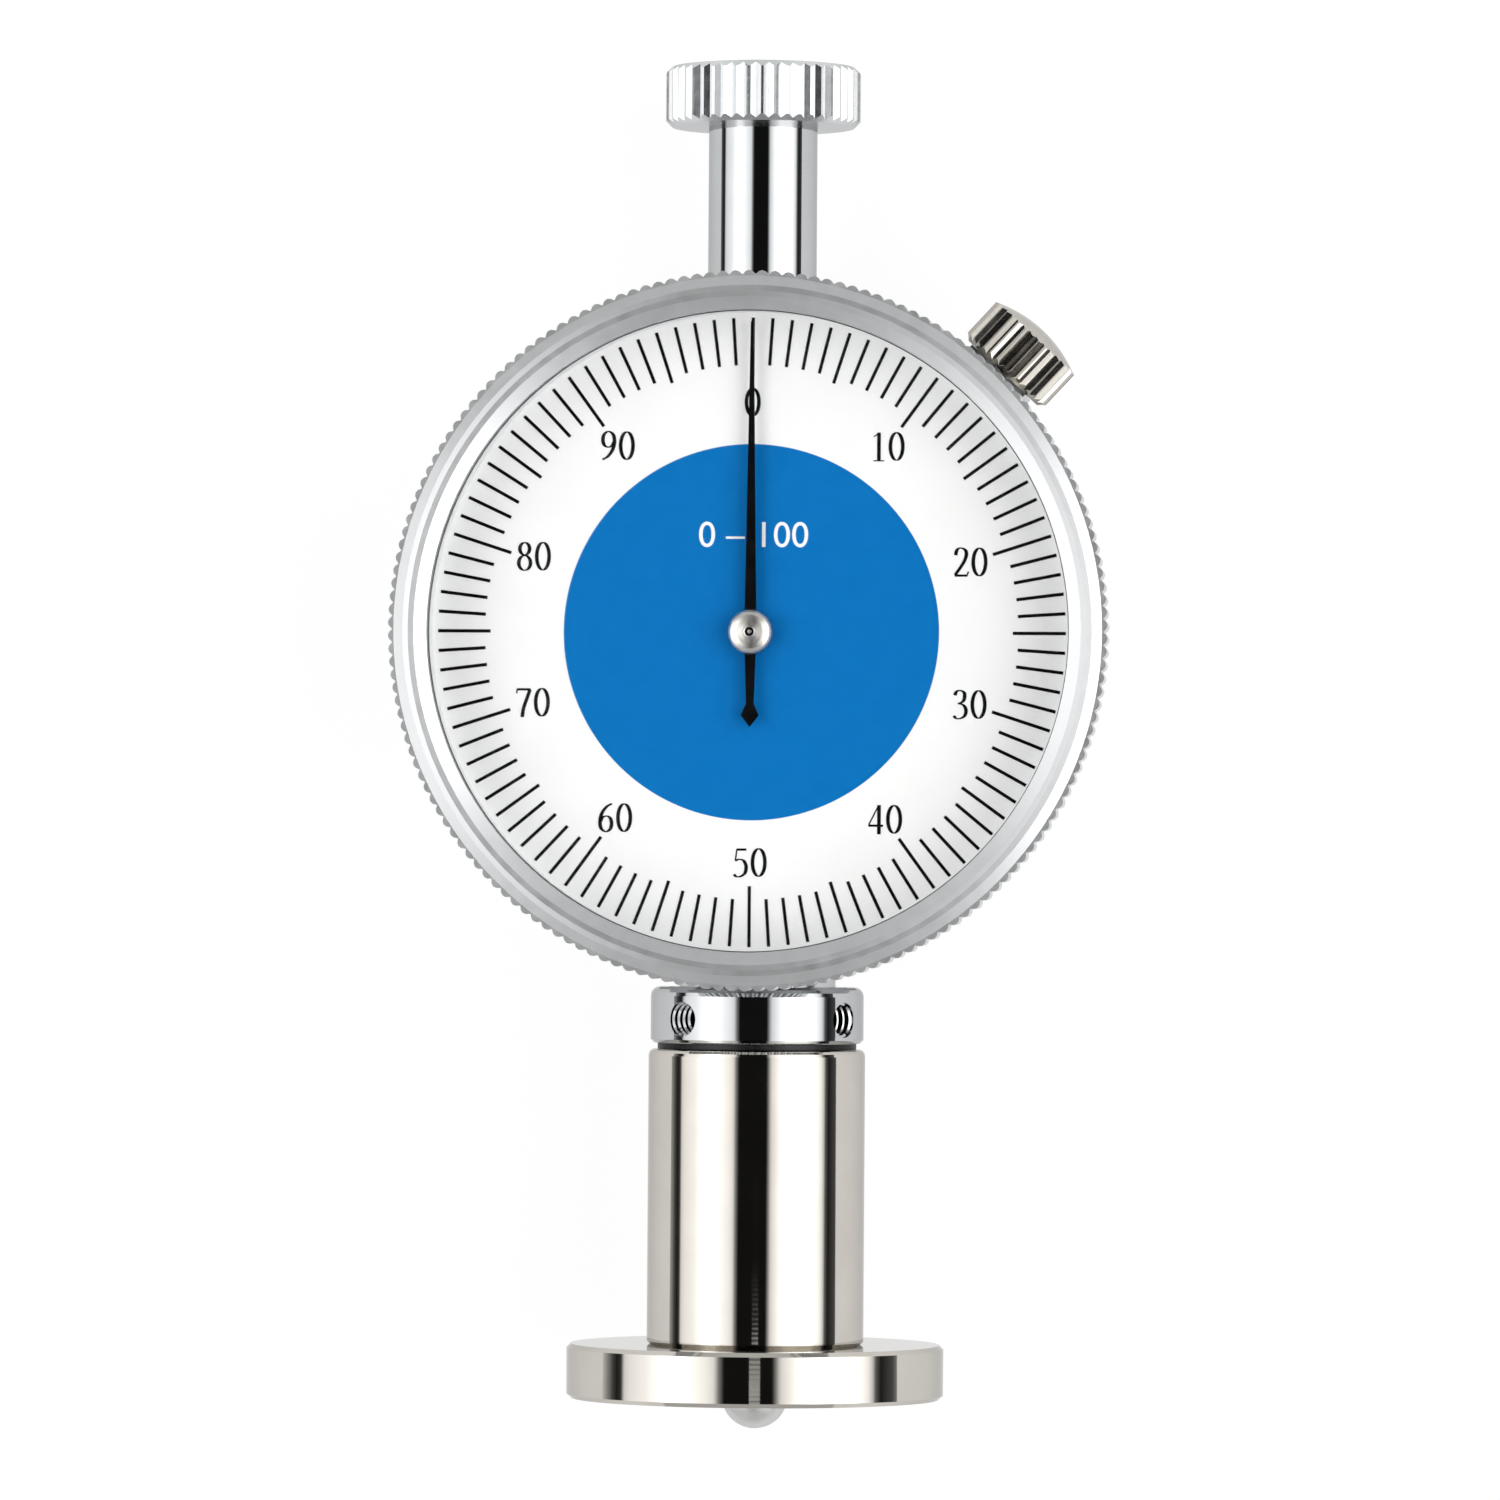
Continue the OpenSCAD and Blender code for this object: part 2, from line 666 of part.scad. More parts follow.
// Spindle: a ground rod with a rack, a flange under the spring and a pilot inside it
module spindle() {
    color("silver") difference() {
        union() {
            translate([0, 0, spindle_bottom]) cylinder(r = spindle_r, h = seat_z - spindle_bottom);
            translate([0, 0, seat_z]) cylinder(d = seat_d, h = seat_t);
            translate([0, 0, seat_z]) cylinder(d = pilot_d, h = seat_t + pilot_l);
        }
        translate([0, spindle_d, rack_arbor_z]) rotate([90, 0, 0])
            linear_extrude(2 * spindle_d) polygon(rack_cut());
        translate([0, 0, spindle_bottom - past])
            cylinder(d = stud_d + 2 * seat_clear, h = stud_l + 2 * past);
        dial_rod(guide_pin_d / 2 + seat_clear, -spindle_d, 0, [0, guide_pin_rise]);
    }
}

// Guide pin: rides in the rear plate's slot and stops the spindle turning
module guide_pin() {
    color("gray") dial_rod(guide_pin_d / 2, -rear_plate_far - move_gap, 0, [0, guide_pin_rise]);
}

// Height of the spring's wire after some turns, with one close turn at each end
function coil_height(turn) =
    let (
        rise = spring_l - wire_d,
        middle = spring_turns - 2,
        pitch = (rise - 2 * coil_close) / middle
    )
    turn < 1 ? coil_close * turn
        : turn > spring_turns - 1 ? rise - coil_close * (spring_turns - turn)
        : coil_close + pitch * (turn - 1);

// Main spring: a compression spring swept as rings of points along a helix
module main_spring() {
    rings = floor(spring_turns * coil_steps);
    points = [for (i = [0:rings], k = [0:coil_sides - 1])
        let (
            turn = i * spring_turns / rings,
            a = 360 * turn,
            b = 360 * k / coil_sides,
            r = spring_d / 2 + wire_r * cos(b),
            z = spring_bottom + wire_r + coil_height(turn) + wire_r * sin(b)
        )
        [r * cos(a), r * sin(a), z]];
    sides = [for (i = [0:rings - 1], k = [0:coil_sides - 1])
        let (n = (k + 1) % coil_sides, row = i * coil_sides)
        [row + k, row + n, row + coil_sides + n, row + coil_sides + k]];
    first = [for (k = [coil_sides - 1:-1:0]) k];
    last = [for (k = [0:coil_sides - 1]) rings * coil_sides + k];
    color("dimgray") polyhedron(points, concat([first], sides, [last]));
}

// Spring adjuster: a slotted plug that screws down the tube onto the spring
module spring_adjuster() {
    color("goldenrod") translate([0, 0, spring_top]) difference() {
        cylinder(r = bush_r - seat_clear, h = adjuster_t);
        translate([-bush_d, -slot_w / 2, adjuster_t / 2]) cube([2 * bush_d, slot_w, adjuster_t]);
    }
}

module top_tube() {
    color("silver") turned([
        [bush_r, tube_bottom], [tube_r, tube_bottom], [tube_r, tube_top], [bush_r, tube_top]
    ]);
}

// Top cap: a knurled head with a spigot that screws into the tube
module top_cap() {
    r = cap_d / 2;
    color("silver") translate([0, 0, tube_top]) union() {
        intersection() {
            linear_extrude(cap_h) polygon(ridged(cap_ridges, r, ridge_h));
            turned([
                [0, 0], [r - cap_edge, 0], [r + past, cap_edge + past], [r + past, cap_h - cap_edge - past],
                [r - cap_edge, cap_h], [0, cap_h]
            ]);
        }
        translate([0, 0, -cap_spigot_l])
            cylinder(r = bush_r - seat_clear, h = cap_spigot_l + cap_h / 2);
    }
}

// Places of the back cover's screws around the dial
module at_cover_screws() {
    reach = case_inner_r - cover_lug_d / 3;
    for (angle = cover_screw_angles)
        facing(0, around(reach, angle)) children();
}

// Case: a ring with a rim for the bezel, a shelf for the movement and bosses for stem and tube
module case_body() {
    lower_r = lower_boss_d / 2;
    upper_r = upper_boss_d / 2;
    lower_pad = dial_z - sqrt(case_inner_r ^ 2 - lower_r ^ 2);
    upper_pad = dial_z + sqrt(case_inner_r ^ 2 - upper_r ^ 2);
    upper_top = dial_z + case_r + upper_boss_h;
    color("silver") difference() {
        union() {
            dial_turned([
                [case_inner_r, -case_back], [case_r - cover_edge, -case_back],
                [case_r, -case_back + cover_edge], [case_r, shoulder], [rim_r, shoulder],
                [rim_r, rim_front], [rim_inner_r, rim_front], [rim_inner_r, plate_rear],
                [shelf_r, plate_rear], [shelf_r, plate_rear - shelf_t], [case_inner_r, plate_rear - shelf_t]
            ]);
            intersection() {
                translate([0, 0, collar_top]) cylinder(r = lower_r, h = lower_pad - collar_top);
                translate([-case_r, -shoulder, 0]) cube([case_d, case_d, dial_z]);
            }
            translate([0, 0, upper_pad]) cylinder(r = upper_r, h = upper_top - upper_pad);
            at_cover_screws() translate([0, 0, -case_back]) cylinder(d = cover_lug_d, h = cover_lug_l);
            along_clamp() translate([0, -clamp_forward, case_inner_r - clamp_boss_l])
                cylinder(d = clamp_boss_d, h = clamp_boss_l + case_wall / 2);
        }
        translate([0, 0, collar_top - past]) cylinder(d = collar_spigot_d + 2 * seat_clear, h = case_r);
        translate([0, 0, dial_z]) cylinder(r = tube_r + seat_clear, h = case_d);
        facing(ring_wire_forward) rotate_extrude()
            translate([rim_r, 0]) circle(r = ring_wire_r + seat_clear);
        at_cover_screws() translate([0, 0, -case_back - past])
            cylinder(d = cover_screw_d + 2 * seat_clear, h = cover_lug_l);
        for (angle = plate_screw_angles)
            dial_rod(screw_d / 2 + seat_clear, plate_rear - shelf_t - past, plate_front,
                around(plate_screw_reach, angle));
        along_clamp() {
            translate([0, -clamp_forward, case_inner_r - 2 * clamp_boss_l])
                cylinder(d = clamp_thread_d + 2 * run_clear, h = case_r);
            translate([-jaw_w / 2 - move_gap, -shoulder - past, case_r - clamp_flat])
                cube([jaw_w + 2 * move_gap, shoulder + past - clamp_forward + jaw_back + move_gap, case_r]);
        }
    }
}

module case_gasket() {
    color("black") dial_turned([
        [case_inner_r, -cover_near], [case_r - 2 * cover_edge, -cover_near],
        [case_r - 2 * cover_edge, -case_back], [case_inner_r, -case_back]
    ]);
}

module back_cover() {
    color("silver") difference() {
        dial_turned([
            [0, -cover_far], [case_r - cover_edge, -cover_far], [case_r, -cover_far + cover_edge],
            [case_r, -cover_near], [0, -cover_near]
        ]);
        at_cover_screws() translate([0, 0, -cover_far - past]) {
            cylinder(d = cover_screw_d + 2 * run_clear, h = cover_t + 2 * past);
            cylinder(d = cover_head_d + 4 * run_clear, h = cover_head_h + past);
        }
    }
}

module cover_screws() {
    color("gray") at_cover_screws() translate([0, 0, -cover_far + cover_head_h]) rotate([180, 0, 0])
        slotted_screw(cover_head_d, cover_head_h, cover_screw_d, cover_screw_l);
}

// Bezel: a serrated ring with a bevelled lip in front and a skirt behind
module bezel() {
    band_front = ring_edge - chamfer_h;
    band_middle = (band_rear + band_front) / 2;
    core_r = (skirt_r + bezel_root_r) / 2;
    ring_r = core_r - chamfer_w;
    bevel_r = opening_r + bevel_w;
    color("gainsboro") difference() {
        union() {
            dial_turned([
                [bore_r, skirt_rear], [skirt_r, skirt_rear], [skirt_r, band_middle], [core_r, band_middle],
                [core_r, band_front], [ring_r, ring_edge], [(ring_r + bevel_r) / 2, bezel_front],
                [bevel_r, ring_edge], [opening_r, lip_front], [opening_r, crystal_front],
                [bore_r, crystal_front]
            ]);
            dial_sheet(band_rear, band_front) difference() {
                polygon(serrated(serrations, bezel_root_r, serration_h));
                circle(r = (bore_r + bezel_root_r) / 2);
            }
        }
        facing(ring_wire_forward) rotate_extrude()
            translate([bore_r, 0]) circle(r = ring_wire_r + 2 * run_clear);
    }
}

// Wire ring: a split ring in the case's rim that keeps the bezel on
module bezel_ring_wire() {
    color("dimgray") facing(ring_wire_forward) rotate_extrude(angle = 330)
        translate([rim_r, 0]) circle(r = ring_wire_r);
}

module crystal() {
    color("lightblue", 0.3) dial_rod(bore_r - seat_clear, crystal_rear, crystal_front);
}

// Ring that keeps the crystal and the dial apart
module crystal_ring() {
    color("white") dial_turned([
        [opening_r, dial_front], [bore_r - seat_clear, dial_front], [bore_r - seat_clear, crystal_rear],
        [opening_r, crystal_rear]
    ]);
}

module dial_face() {
    color("white") dial_sheet(dial_rear, dial_front) difference() {
        circle(r = bore_r - seat_clear);
        circle(d = dial_hole_d);
    }
}

// Pointer: a long taper with a waisted tail that ends in a spade
module pointer() {
    neck_y = -tail_l + tail_spade_l;
    spade_y = -tail_l + tail_spade_l / 2;
    color("black") dial_sheet(pointer_rear, pointer_rear + pointer_t) difference() {
        polygon([
            [-pointer_tip_w / 2, pointer_l], [-pointer_w / 2, 0], [-tail_neck_w / 2, neck_y],
            [-tail_spade_w / 2, spade_y], [0, -tail_l], [tail_spade_w / 2, spade_y],
            [tail_neck_w / 2, neck_y], [pointer_w / 2, 0], [pointer_tip_w / 2, pointer_l]
        ]);
        circle(r = pivot_r + seat_clear);
    }
}

// Hub: a stepped turned button that carries the pointer
module pointer_hub() {
    r = hub_d / 2;
    hole_r = pivot_r + seat_clear;
    top = hub_rear + hub_h;
    step = hub_h / 6;
    color("silver") difference() {
        dial_turned([
            [hole_r, hub_rear], [r - step, hub_rear], [r, hub_rear + step], [r, top - 2 * step],
            [r - 2 * step, top - step], [r - 4 * step, top], [hole_r, top]
        ]);
        dial_sheet(pointer_rear - seat_clear, pointer_rear + pointer_t + seat_clear)
            square([pointer_w + 2 * seat_clear, hub_d + past], center = true);
    }
}

// Centre arbor: carries the pointer in front and its pinion behind
module centre_arbor() {
    color("silver") union() {
        dial_rod(pivot_r, cock_rear, gear_front);
        dial_sheet(cock_front + end_play, gear_front + end_play)
            polygon(gear_outline(pinion_teeth, gear_module, tooth_play, pinion_turn));
        dial_rod(arbor_r, gear_front, hub_rear);
        dial_rod(pivot_r, gear_front, hub_rear + hub_h + end_play);
    }
}

// Rack arbor: the spindle's rack turns its pinion
module rack_arbor() {
    at = [rack_arbor_x, rack_arbor_h];
    color("silver") union() {
        dial_rod(pivot_r, -rear_plate_far, plate_front, at);
        dial_rod(arbor_r, -rear_plate_near + end_play, plate_rear - end_play, at);
        dial_sheet(-rack_pinion_l / 2, rack_pinion_l / 2, at)
            polygon(gear_outline(rack_pinion_teeth, rack_module, rack_play, 0));
    }
}

// A gear with a hub and round lightening holes
module arbor_gear(at, turn) {
    holes = 5;
    hole_reach = (gear_r + gear_hub_d / 2) / 2;
    color("goldenrod") difference() {
        union() {
            dial_sheet(gear_rear, gear_front, at)
                polygon(gear_outline(gear_teeth, gear_module, tooth_play, turn));
            dial_rod(gear_hub_d / 2, gear_rear - move_gap, gear_rear + gear_t / 2, at);
        }
        dial_rod(arbor_r + seat_clear, gear_rear - past, gear_front + past, at);
        for (i = [0:holes - 1])
            dial_rod(gear_hole_d / 2, gear_rear - past, gear_front + past,
                at + around(hole_reach, i * 360 / holes));
    }
}

module transfer_gear() {
    arbor_gear([rack_arbor_x, rack_arbor_h], mesh_angle);
}

module takeup_arbor() {
    at = [takeup_x, takeup_h];
    color("silver") union() {
        dial_rod(pivot_r, -rear_plate_far, plate_front, at);
        dial_rod(arbor_r, -rear_plate_near + end_play, plate_rear - end_play, at);
    }
}

module takeup_gear() {
    arbor_gear([takeup_x, takeup_h], takeup_turn);
}

// A point of the hairspring's spiral, inside or outside its strip
function spiral(step, offset) =
    let (turn = step / hairspring_steps)
    around(hairspring_inner_r + hairspring_pitch * turn + offset, 360 * turn);

// Hairspring: a flat spiral that takes up the play of the gears
module hairspring() {
    steps = hairspring_turns * hairspring_steps;
    color("steelblue")
        dial_sheet(hairspring_rear, hairspring_rear + hairspring_h, [takeup_x, takeup_h])
            polygon(concat(
                [for (i = [0:steps]) spiral(i, -hairspring_t / 2)],
                [for (i = [steps:-1:0]) spiral(i, hairspring_t / 2)]
            ));
}

module hairspring_stud() {
    color("gray") dial_rod(hairspring_stud_d / 2, hairspring_rear, plate_front,
        [takeup_x + hairspring_stud_reach, takeup_h]);
}

// Pivot holes of the rack and take-up arbors
module arbor_holes(from, to) {
    for (at = [[rack_arbor_x, rack_arbor_h], [takeup_x, takeup_h]])
        dial_rod(pivot_r + run_clear, from, to, at);
}

module main_plate() {
    from = plate_rear - past;
    to = plate_front + past;
    color("goldenrod") difference() {
        dial_rod(rim_inner_r - 2 * run_clear, plate_rear, plate_front);
        dial_rod(arbor_r + run_clear, from, to);
        arbor_holes(from, to);
        dial_rod(hairspring_stud_d / 2 + seat_clear, from, to,
            [takeup_x + hairspring_stud_reach, takeup_h]);
        for (angle = plate_screw_angles)
            dial_rod(screw_d / 2 + seat_clear, from, to, around(plate_screw_reach, angle));
    }
}

module plate_screws() {
    color("gray") for (angle = plate_screw_angles)
        facing(plate_front, around(plate_screw_reach, angle))
            slotted_screw(screw_head_d, screw_head_h, screw_d, screw_l);
}

// Cock: a bridge that holds the rear pivot of the centre arbor in front of the spindle
module centre_cock() {
    color("goldenrod") difference() {
        dial_sheet(cock_rear, cock_front) union() {
            rotate(cock_angles[0]) square([2 * cock_reach, cock_w], center = true);
            for (angle = cock_angles)
                translate(around(cock_reach, angle)) circle(d = cock_w + 2 * cock_edge);
        }
        dial_rod(pivot_r + run_clear, cock_rear - past, cock_front + past);
        for (angle = cock_angles)
            dial_rod(screw_d / 2 + seat_clear, cock_rear - past, cock_front + past,
                around(cock_reach, angle));
    }
}

// A row of pillars with tapped holes, from a plate at the rear to the main plate
module pillars(reach, angles, rear) {
    color("silver") difference() {
        for (angle = angles)
            dial_rod(pillar_d / 2, rear, plate_rear, around(reach, angle));
        for (angle = angles)
            dial_rod(screw_d / 2 + seat_clear, rear - past, rear + screw_l, around(reach, angle));
    }
}

module cock_pillars() {
    pillars(cock_reach, cock_angles, cock_front);
}

module plate_pillars() {
    pillars(pillar_reach, pillar_angles, -rear_plate_near);
}

// Rear plate: carries the rear pivots and guides the spindle's pin in a slot
module rear_plate() {
    slot_r = guide_pin_d / 2 + run_clear;
    slot_l = travel + guide_pin_d + 2 * move_gap;
    color("goldenrod") difference() {
        dial_rod(rear_plate_d / 2, -rear_plate_far, -rear_plate_near);
        arbor_holes(-rear_plate_far - past, -rear_plate_near + past);
        dial_sheet(-rear_plate_far - past, -rear_plate_near + past, [-slot_r, guide_pin_rise])
            translate([0, -guide_pin_d / 2 - move_gap]) square([2 * slot_r, slot_l]);
        for (angle = pillar_angles)
            dial_rod(screw_d / 2 + seat_clear, -rear_plate_far - past, -rear_plate_near + past,
                around(pillar_reach, angle));
    }
}

// Screws behind the rear plate and the cock
module pillar_screws() {
    color("gray") {
        for (angle = pillar_angles)
            facing(-rear_plate_far, around(pillar_reach, angle)) rotate([180, 0, 0])
                slotted_screw(screw_head_d, screw_head_h, screw_d, screw_l);
        for (angle = cock_angles)
            facing(cock_rear, around(cock_reach, angle)) rotate([180, 0, 0])
                slotted_screw(screw_head_d, screw_head_h, screw_d, screw_l);
    }
}

// Clamp jaw: a block under the screw's head whose lip grips the bezel's skirt
module clamp_jaw() {
    lip_front_end = band_rear - move_gap;
    block_front = shoulder;
    block_back = clamp_forward - jaw_back;
    color("silver") along_clamp() difference() {
        union() {
            translate([-jaw_w / 2, -block_front, jaw_seat])
                cube([jaw_w, block_front - block_back, jaw_top - jaw_seat]);
            translate([-jaw_w / 2, -lip_front_end, jaw_lip_seat])
                cube([jaw_w, lip_front_end - block_front, jaw_top - jaw_lip_seat]);
        }
        translate([0, -clamp_forward, case_inner_r])
            cylinder(d = clamp_thread_d + 4 * run_clear, h = case_r);
    }
}

// Clamp screw: a knurled, domed thumb screw
module clamp_screw() {
    r = clamp_d / 2;
    head_h = clamp_h + clamp_dome;
    color("silver") along_clamp() translate([0, -clamp_forward, clamp_base]) union() {
        intersection() {
            linear_extrude(head_h) polygon(ridged(clamp_ridges, r, ridge_h));
            turned([
                [0, 0], [r - clamp_edge, 0], [r + past, clamp_edge + past], [r + past, head_h + past],
                [0, head_h + past]
            ]);
            translate([0, 0, head_h - dome_r]) sphere(r = dome_r, $fn = 128);
        }
        translate([0, 0, clamp_tip - clamp_base])
            cylinder(d = clamp_thread_d, h = clamp_base - clamp_tip + clamp_h / 2);
    }
}

// Lays the gauge down on its back, with the middle of its length over the origin
module lying() {
    translate([0, -(cap_end + ball_end) / 2, rest_lift]) rotate([-90 - lean, 0, 0]) children();
}

lying() presser_foot();
lying() column();
lying() shim_ring();
lying() stem_collar();
lying() set_screws();
lying() lower_guide_bush();
lying() collar_guide_bush();
lying() upper_guide_bush();
lying() ball_indenter();
lying() spindle();
lying() guide_pin();
lying() main_spring();
lying() spring_adjuster();
lying() top_tube();
lying() top_cap();
lying() case_body();
lying() case_gasket();
lying() back_cover();
lying() cover_screws();
lying() bezel();
lying() bezel_ring_wire();
lying() crystal();
lying() crystal_ring();
lying() dial_face();
lying() pointer();
lying() pointer_hub();
lying() centre_arbor();
lying() rack_arbor();
lying() transfer_gear();
lying() takeup_arbor();
lying() takeup_gear();
lying() hairspring();
lying() hairspring_stud();
lying() main_plate();
lying() plate_screws();
lying() centre_cock();
lying() cock_pillars();
lying() rear_plate();
lying() plate_pillars();
lying() pillar_screws();
lying() clamp_jaw();
lying() clamp_screw();
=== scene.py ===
# %% [markdown]
# # A dial durometer on a white card
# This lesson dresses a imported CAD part: a hand-held hardness gauge with a ball under its foot.
# It can't stand on its ball, so it lies on its back and the camera looks down on its dial.
# The CAD model gives every solid its place, and the cells below give it printed ink, fine turned
# details, metal finishes and studio light. Nothing from the CAD model is moved.

import json
import math

import bmesh
import bpy
from mathutils import Matrix, Vector


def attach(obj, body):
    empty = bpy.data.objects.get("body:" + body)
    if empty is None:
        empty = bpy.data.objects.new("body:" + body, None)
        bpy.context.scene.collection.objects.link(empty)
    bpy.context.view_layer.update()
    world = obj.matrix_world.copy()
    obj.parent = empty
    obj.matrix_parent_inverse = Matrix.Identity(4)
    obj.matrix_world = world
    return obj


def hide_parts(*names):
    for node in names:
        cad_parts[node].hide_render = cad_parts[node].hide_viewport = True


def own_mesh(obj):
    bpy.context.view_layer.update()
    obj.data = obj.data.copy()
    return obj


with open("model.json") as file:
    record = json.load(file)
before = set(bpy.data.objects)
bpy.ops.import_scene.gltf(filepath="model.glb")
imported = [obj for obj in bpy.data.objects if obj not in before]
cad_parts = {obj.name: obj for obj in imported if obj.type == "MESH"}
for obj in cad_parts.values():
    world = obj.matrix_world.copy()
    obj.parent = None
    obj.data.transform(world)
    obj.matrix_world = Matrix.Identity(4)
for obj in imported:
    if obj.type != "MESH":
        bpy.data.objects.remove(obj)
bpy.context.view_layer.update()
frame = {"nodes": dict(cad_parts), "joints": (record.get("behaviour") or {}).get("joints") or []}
nodes = frame["nodes"]

# %% [markdown]
# ## A frame of reference on the dial
# A watchmaker measures from the middle of the dial: to the right, up towards the cap, and forward
# towards the eye. The record's joints hold these directions, so one matrix takes millimetres in that
# frame to metres in the model's frame. Every piece and the camera are written in dial millimetres.

# %% Dial frame
MM = 0.001
joints = {joint["name"]: joint for joint in frame["joints"]}
dial_middle = Vector(joints["pointer_turn"]["pos_m"])
dial_up = Vector(joints["indenter_travel"]["axis"])
dial_front = -Vector(joints["pointer_turn"]["axis"])
dial_right = dial_up.cross(dial_front)
DIAL = Matrix.Translation(dial_middle) @ Matrix((dial_right, dial_up, dial_front)).transposed().to_4x4()
DIAL_MM = DIAL @ Matrix.Scale(MM, 4)
DIAL_HEIGHT = 65.8
print("dial middle in mm:", [round(c / MM, 2) for c in dial_middle])

# %% [markdown]
# ## Camera
# The photograph was taken with a long lens, a little to the right of the dial's middle. A long lens far
# away keeps the sides of the column parallel. Its place was fitted to the edges of the bezel, the column
# and the foot, in dial millimetres, with the gauge's own axis as the upward direction.

# %% Camera
CAMERA_DISTANCE = 750.0
CAMERA_SIDE = math.radians(4.525)
CAMERA_HEIGHT = 44.0 - DIAL_HEIGHT
CAMERA_AIM = (-0.754, 56.275 - DIAL_HEIGHT, 0.0)
CAMERA_ROLL = math.radians(0.40)
CAMERA_LENS, SENSOR_WIDTH = 216.7, 36.0
eye = DIAL_MM @ Vector((
    CAMERA_DISTANCE * math.sin(CAMERA_SIDE), CAMERA_HEIGHT, CAMERA_DISTANCE * math.cos(CAMERA_SIDE)
))
look = (DIAL_MM @ Vector(CAMERA_AIM) - eye).normalized()
level = look.cross(dial_up).normalized()
plumb = level.cross(look)
rolled_right = level * math.cos(CAMERA_ROLL) + plumb * math.sin(CAMERA_ROLL)
rolled_up = plumb * math.cos(CAMERA_ROLL) - level * math.sin(CAMERA_ROLL)
camera_data = bpy.data.cameras.new("camera")
camera_data.lens = CAMERA_LENS
camera_data.sensor_width = SENSOR_WIDTH
camera = bpy.data.objects.new("camera", camera_data)
facing = Matrix((rolled_right, rolled_up, -look)).transposed().to_4x4()
camera.matrix_world = Matrix.Translation(eye) @ facing
bpy.context.scene.collection.objects.link(camera)
bpy.context.scene.camera = camera
bpy.context.scene.view_settings.view_transform = "Standard"
print("camera at", [round(c, 3) for c in eye])

# %% [markdown]
# ## Nodes and colours
# Materials are made of nodes. One small function adds any node, sets its properties and sockets, and
# links it. Another turns a colour as it is picked on a screen, an sRGB hex value, into the linear
# numbers that the renderer adds up. A third starts an empty material.

# %% Helpers for nodes and colours
def add_node(tree, kind, settings=None, links=None):
    node = tree.nodes.new(kind)
    for key, value in (settings or {}).items():
        if isinstance(key, str) and key not in node.inputs:
            setattr(node, key, value)
        else:
            node.inputs[key].default_value = value
    for key, socket in (links or {}).items():
        tree.links.new(socket, node.inputs[key])
    return node


def linear(hex_colour):
    channels = [int(hex_colour[i:i + 2], 16) / 255 for i in (1, 3, 5)]
    return (*[c / 12.92 if c <= 0.04045 else ((c + 0.055) / 1.055) ** 2.4 for c in channels], 1.0)


def new_tree(name):
    material = bpy.data.materials.new(name)
    material.use_nodes = True
    material.node_tree.nodes.clear()
    return material, material.node_tree


print("mid grey is", round(linear("#808080")[0], 3))

# %% [markdown]
# ## Finishes
# Most of the gauge is plated or turned metal. On such metal the eye sees three things: the tint of the
# reflections, how far they are blurred, and faint lines that the lathe or the polishing wheel left.
# So one function makes a finish from a pair of close colours, a pair of roughness values that a cloud of
# noise blends between, and a bump of fine lines. The lines run around the spindle, around the dial, or
# nowhere. Sizes are real millimetres: a noise texture's scale is one over the size of its grain, and a
# wave's period is 0.314 divided by its scale.

# %% One function for a finish
WAVE_PERIOD = 0.314
CLOUD_SPAN = (0.3, 0.7)
LINES = {
    "spindle": {"wave_type": "BANDS", "bands_direction": "Y"},
    "dial": {"wave_type": "RINGS", "rings_direction": "Z"},
}


def make_finish(name, colours, rough, cloud_mm=4.0, grain_mm=None, grain=0.0, lines=None, line_mm=0.5,
                line_depth=0.0, **shader):
    material, tree = new_tree(name)
    place = add_node(tree, "ShaderNodeTexCoord")
    dial_place = add_node(
        tree, "ShaderNodeMapping",
        {"vector_type": "TEXTURE", "Location": dial_middle, "Rotation": DIAL.to_euler()},
        {"Vector": place.outputs["Object"]},
    )
    cloud = add_node(
        tree, "ShaderNodeTexNoise", {"Scale": 1 / (cloud_mm * MM), "Detail": 3.0},
        {"Vector": dial_place.outputs["Vector"]},
    )
    tint = add_node(tree, "ShaderNodeValToRGB", {}, {"Fac": cloud.outputs["Fac"]})
    for stop, position, colour in zip(tint.color_ramp.elements, CLOUD_SPAN, colours):
        stop.position = position
        stop.color = linear(colour)
    blur = add_node(
        tree, "ShaderNodeMapRange",
        {"From Min": CLOUD_SPAN[0], "From Max": CLOUD_SPAN[1], "To Min": rough[0], "To Max": rough[1]},
        {"Value": cloud.outputs["Fac"]},
    )
    relief = {}
    if grain_mm:
        speck = add_node(
            tree, "ShaderNodeTexNoise", {"Scale": 1 / (grain_mm * MM), "Detail": 2.0},
            {"Vector": dial_place.outputs["Vector"]},
        )
        bump = add_node(
            tree, "ShaderNodeBump", {"Strength": 1.0, "Distance": grain * MM},
            {"Height": speck.outputs["Fac"]},
        )
        relief = {"Normal": bump.outputs["Normal"]}
    if lines:
        wave = add_node(
            tree, "ShaderNodeTexWave",
            {**LINES[lines], "Scale": WAVE_PERIOD / (line_mm * MM), "Distortion": 0.6, "Detail": 2.0},
            {"Vector": dial_place.outputs["Vector"]},
        )
        ridge = add_node(
            tree, "ShaderNodeBump", {"Strength": 1.0, "Distance": line_depth * MM},
            {"Height": wave.outputs["Fac"], **relief},
        )
        relief = {"Normal": ridge.outputs["Normal"]}
    principled = add_node(
        tree, "ShaderNodeBsdfPrincipled", shader,
        {"Base Color": tint.outputs["Color"], "Roughness": blur.outputs["Result"], **relief},
    )
    add_node(tree, "ShaderNodeOutputMaterial", {}, {"Surface": principled.outputs["BSDF"]})
    return material


print("line layouts:", sorted(LINES))

# %% [markdown]
# ## Metals
# Chromium plate is cool and mirror-like, nickel plate is warmer, and a beaded or lapped chromium plate is
# satin. Real metals reflect little more than half of the light that falls on them, so their colours are
# mid greys, and a grey specular tint keeps the far edges of round parts from turning white. The lathe's
# lines are drawn at 0.2 to 0.5 mm, coarser than real ones, so that they show.

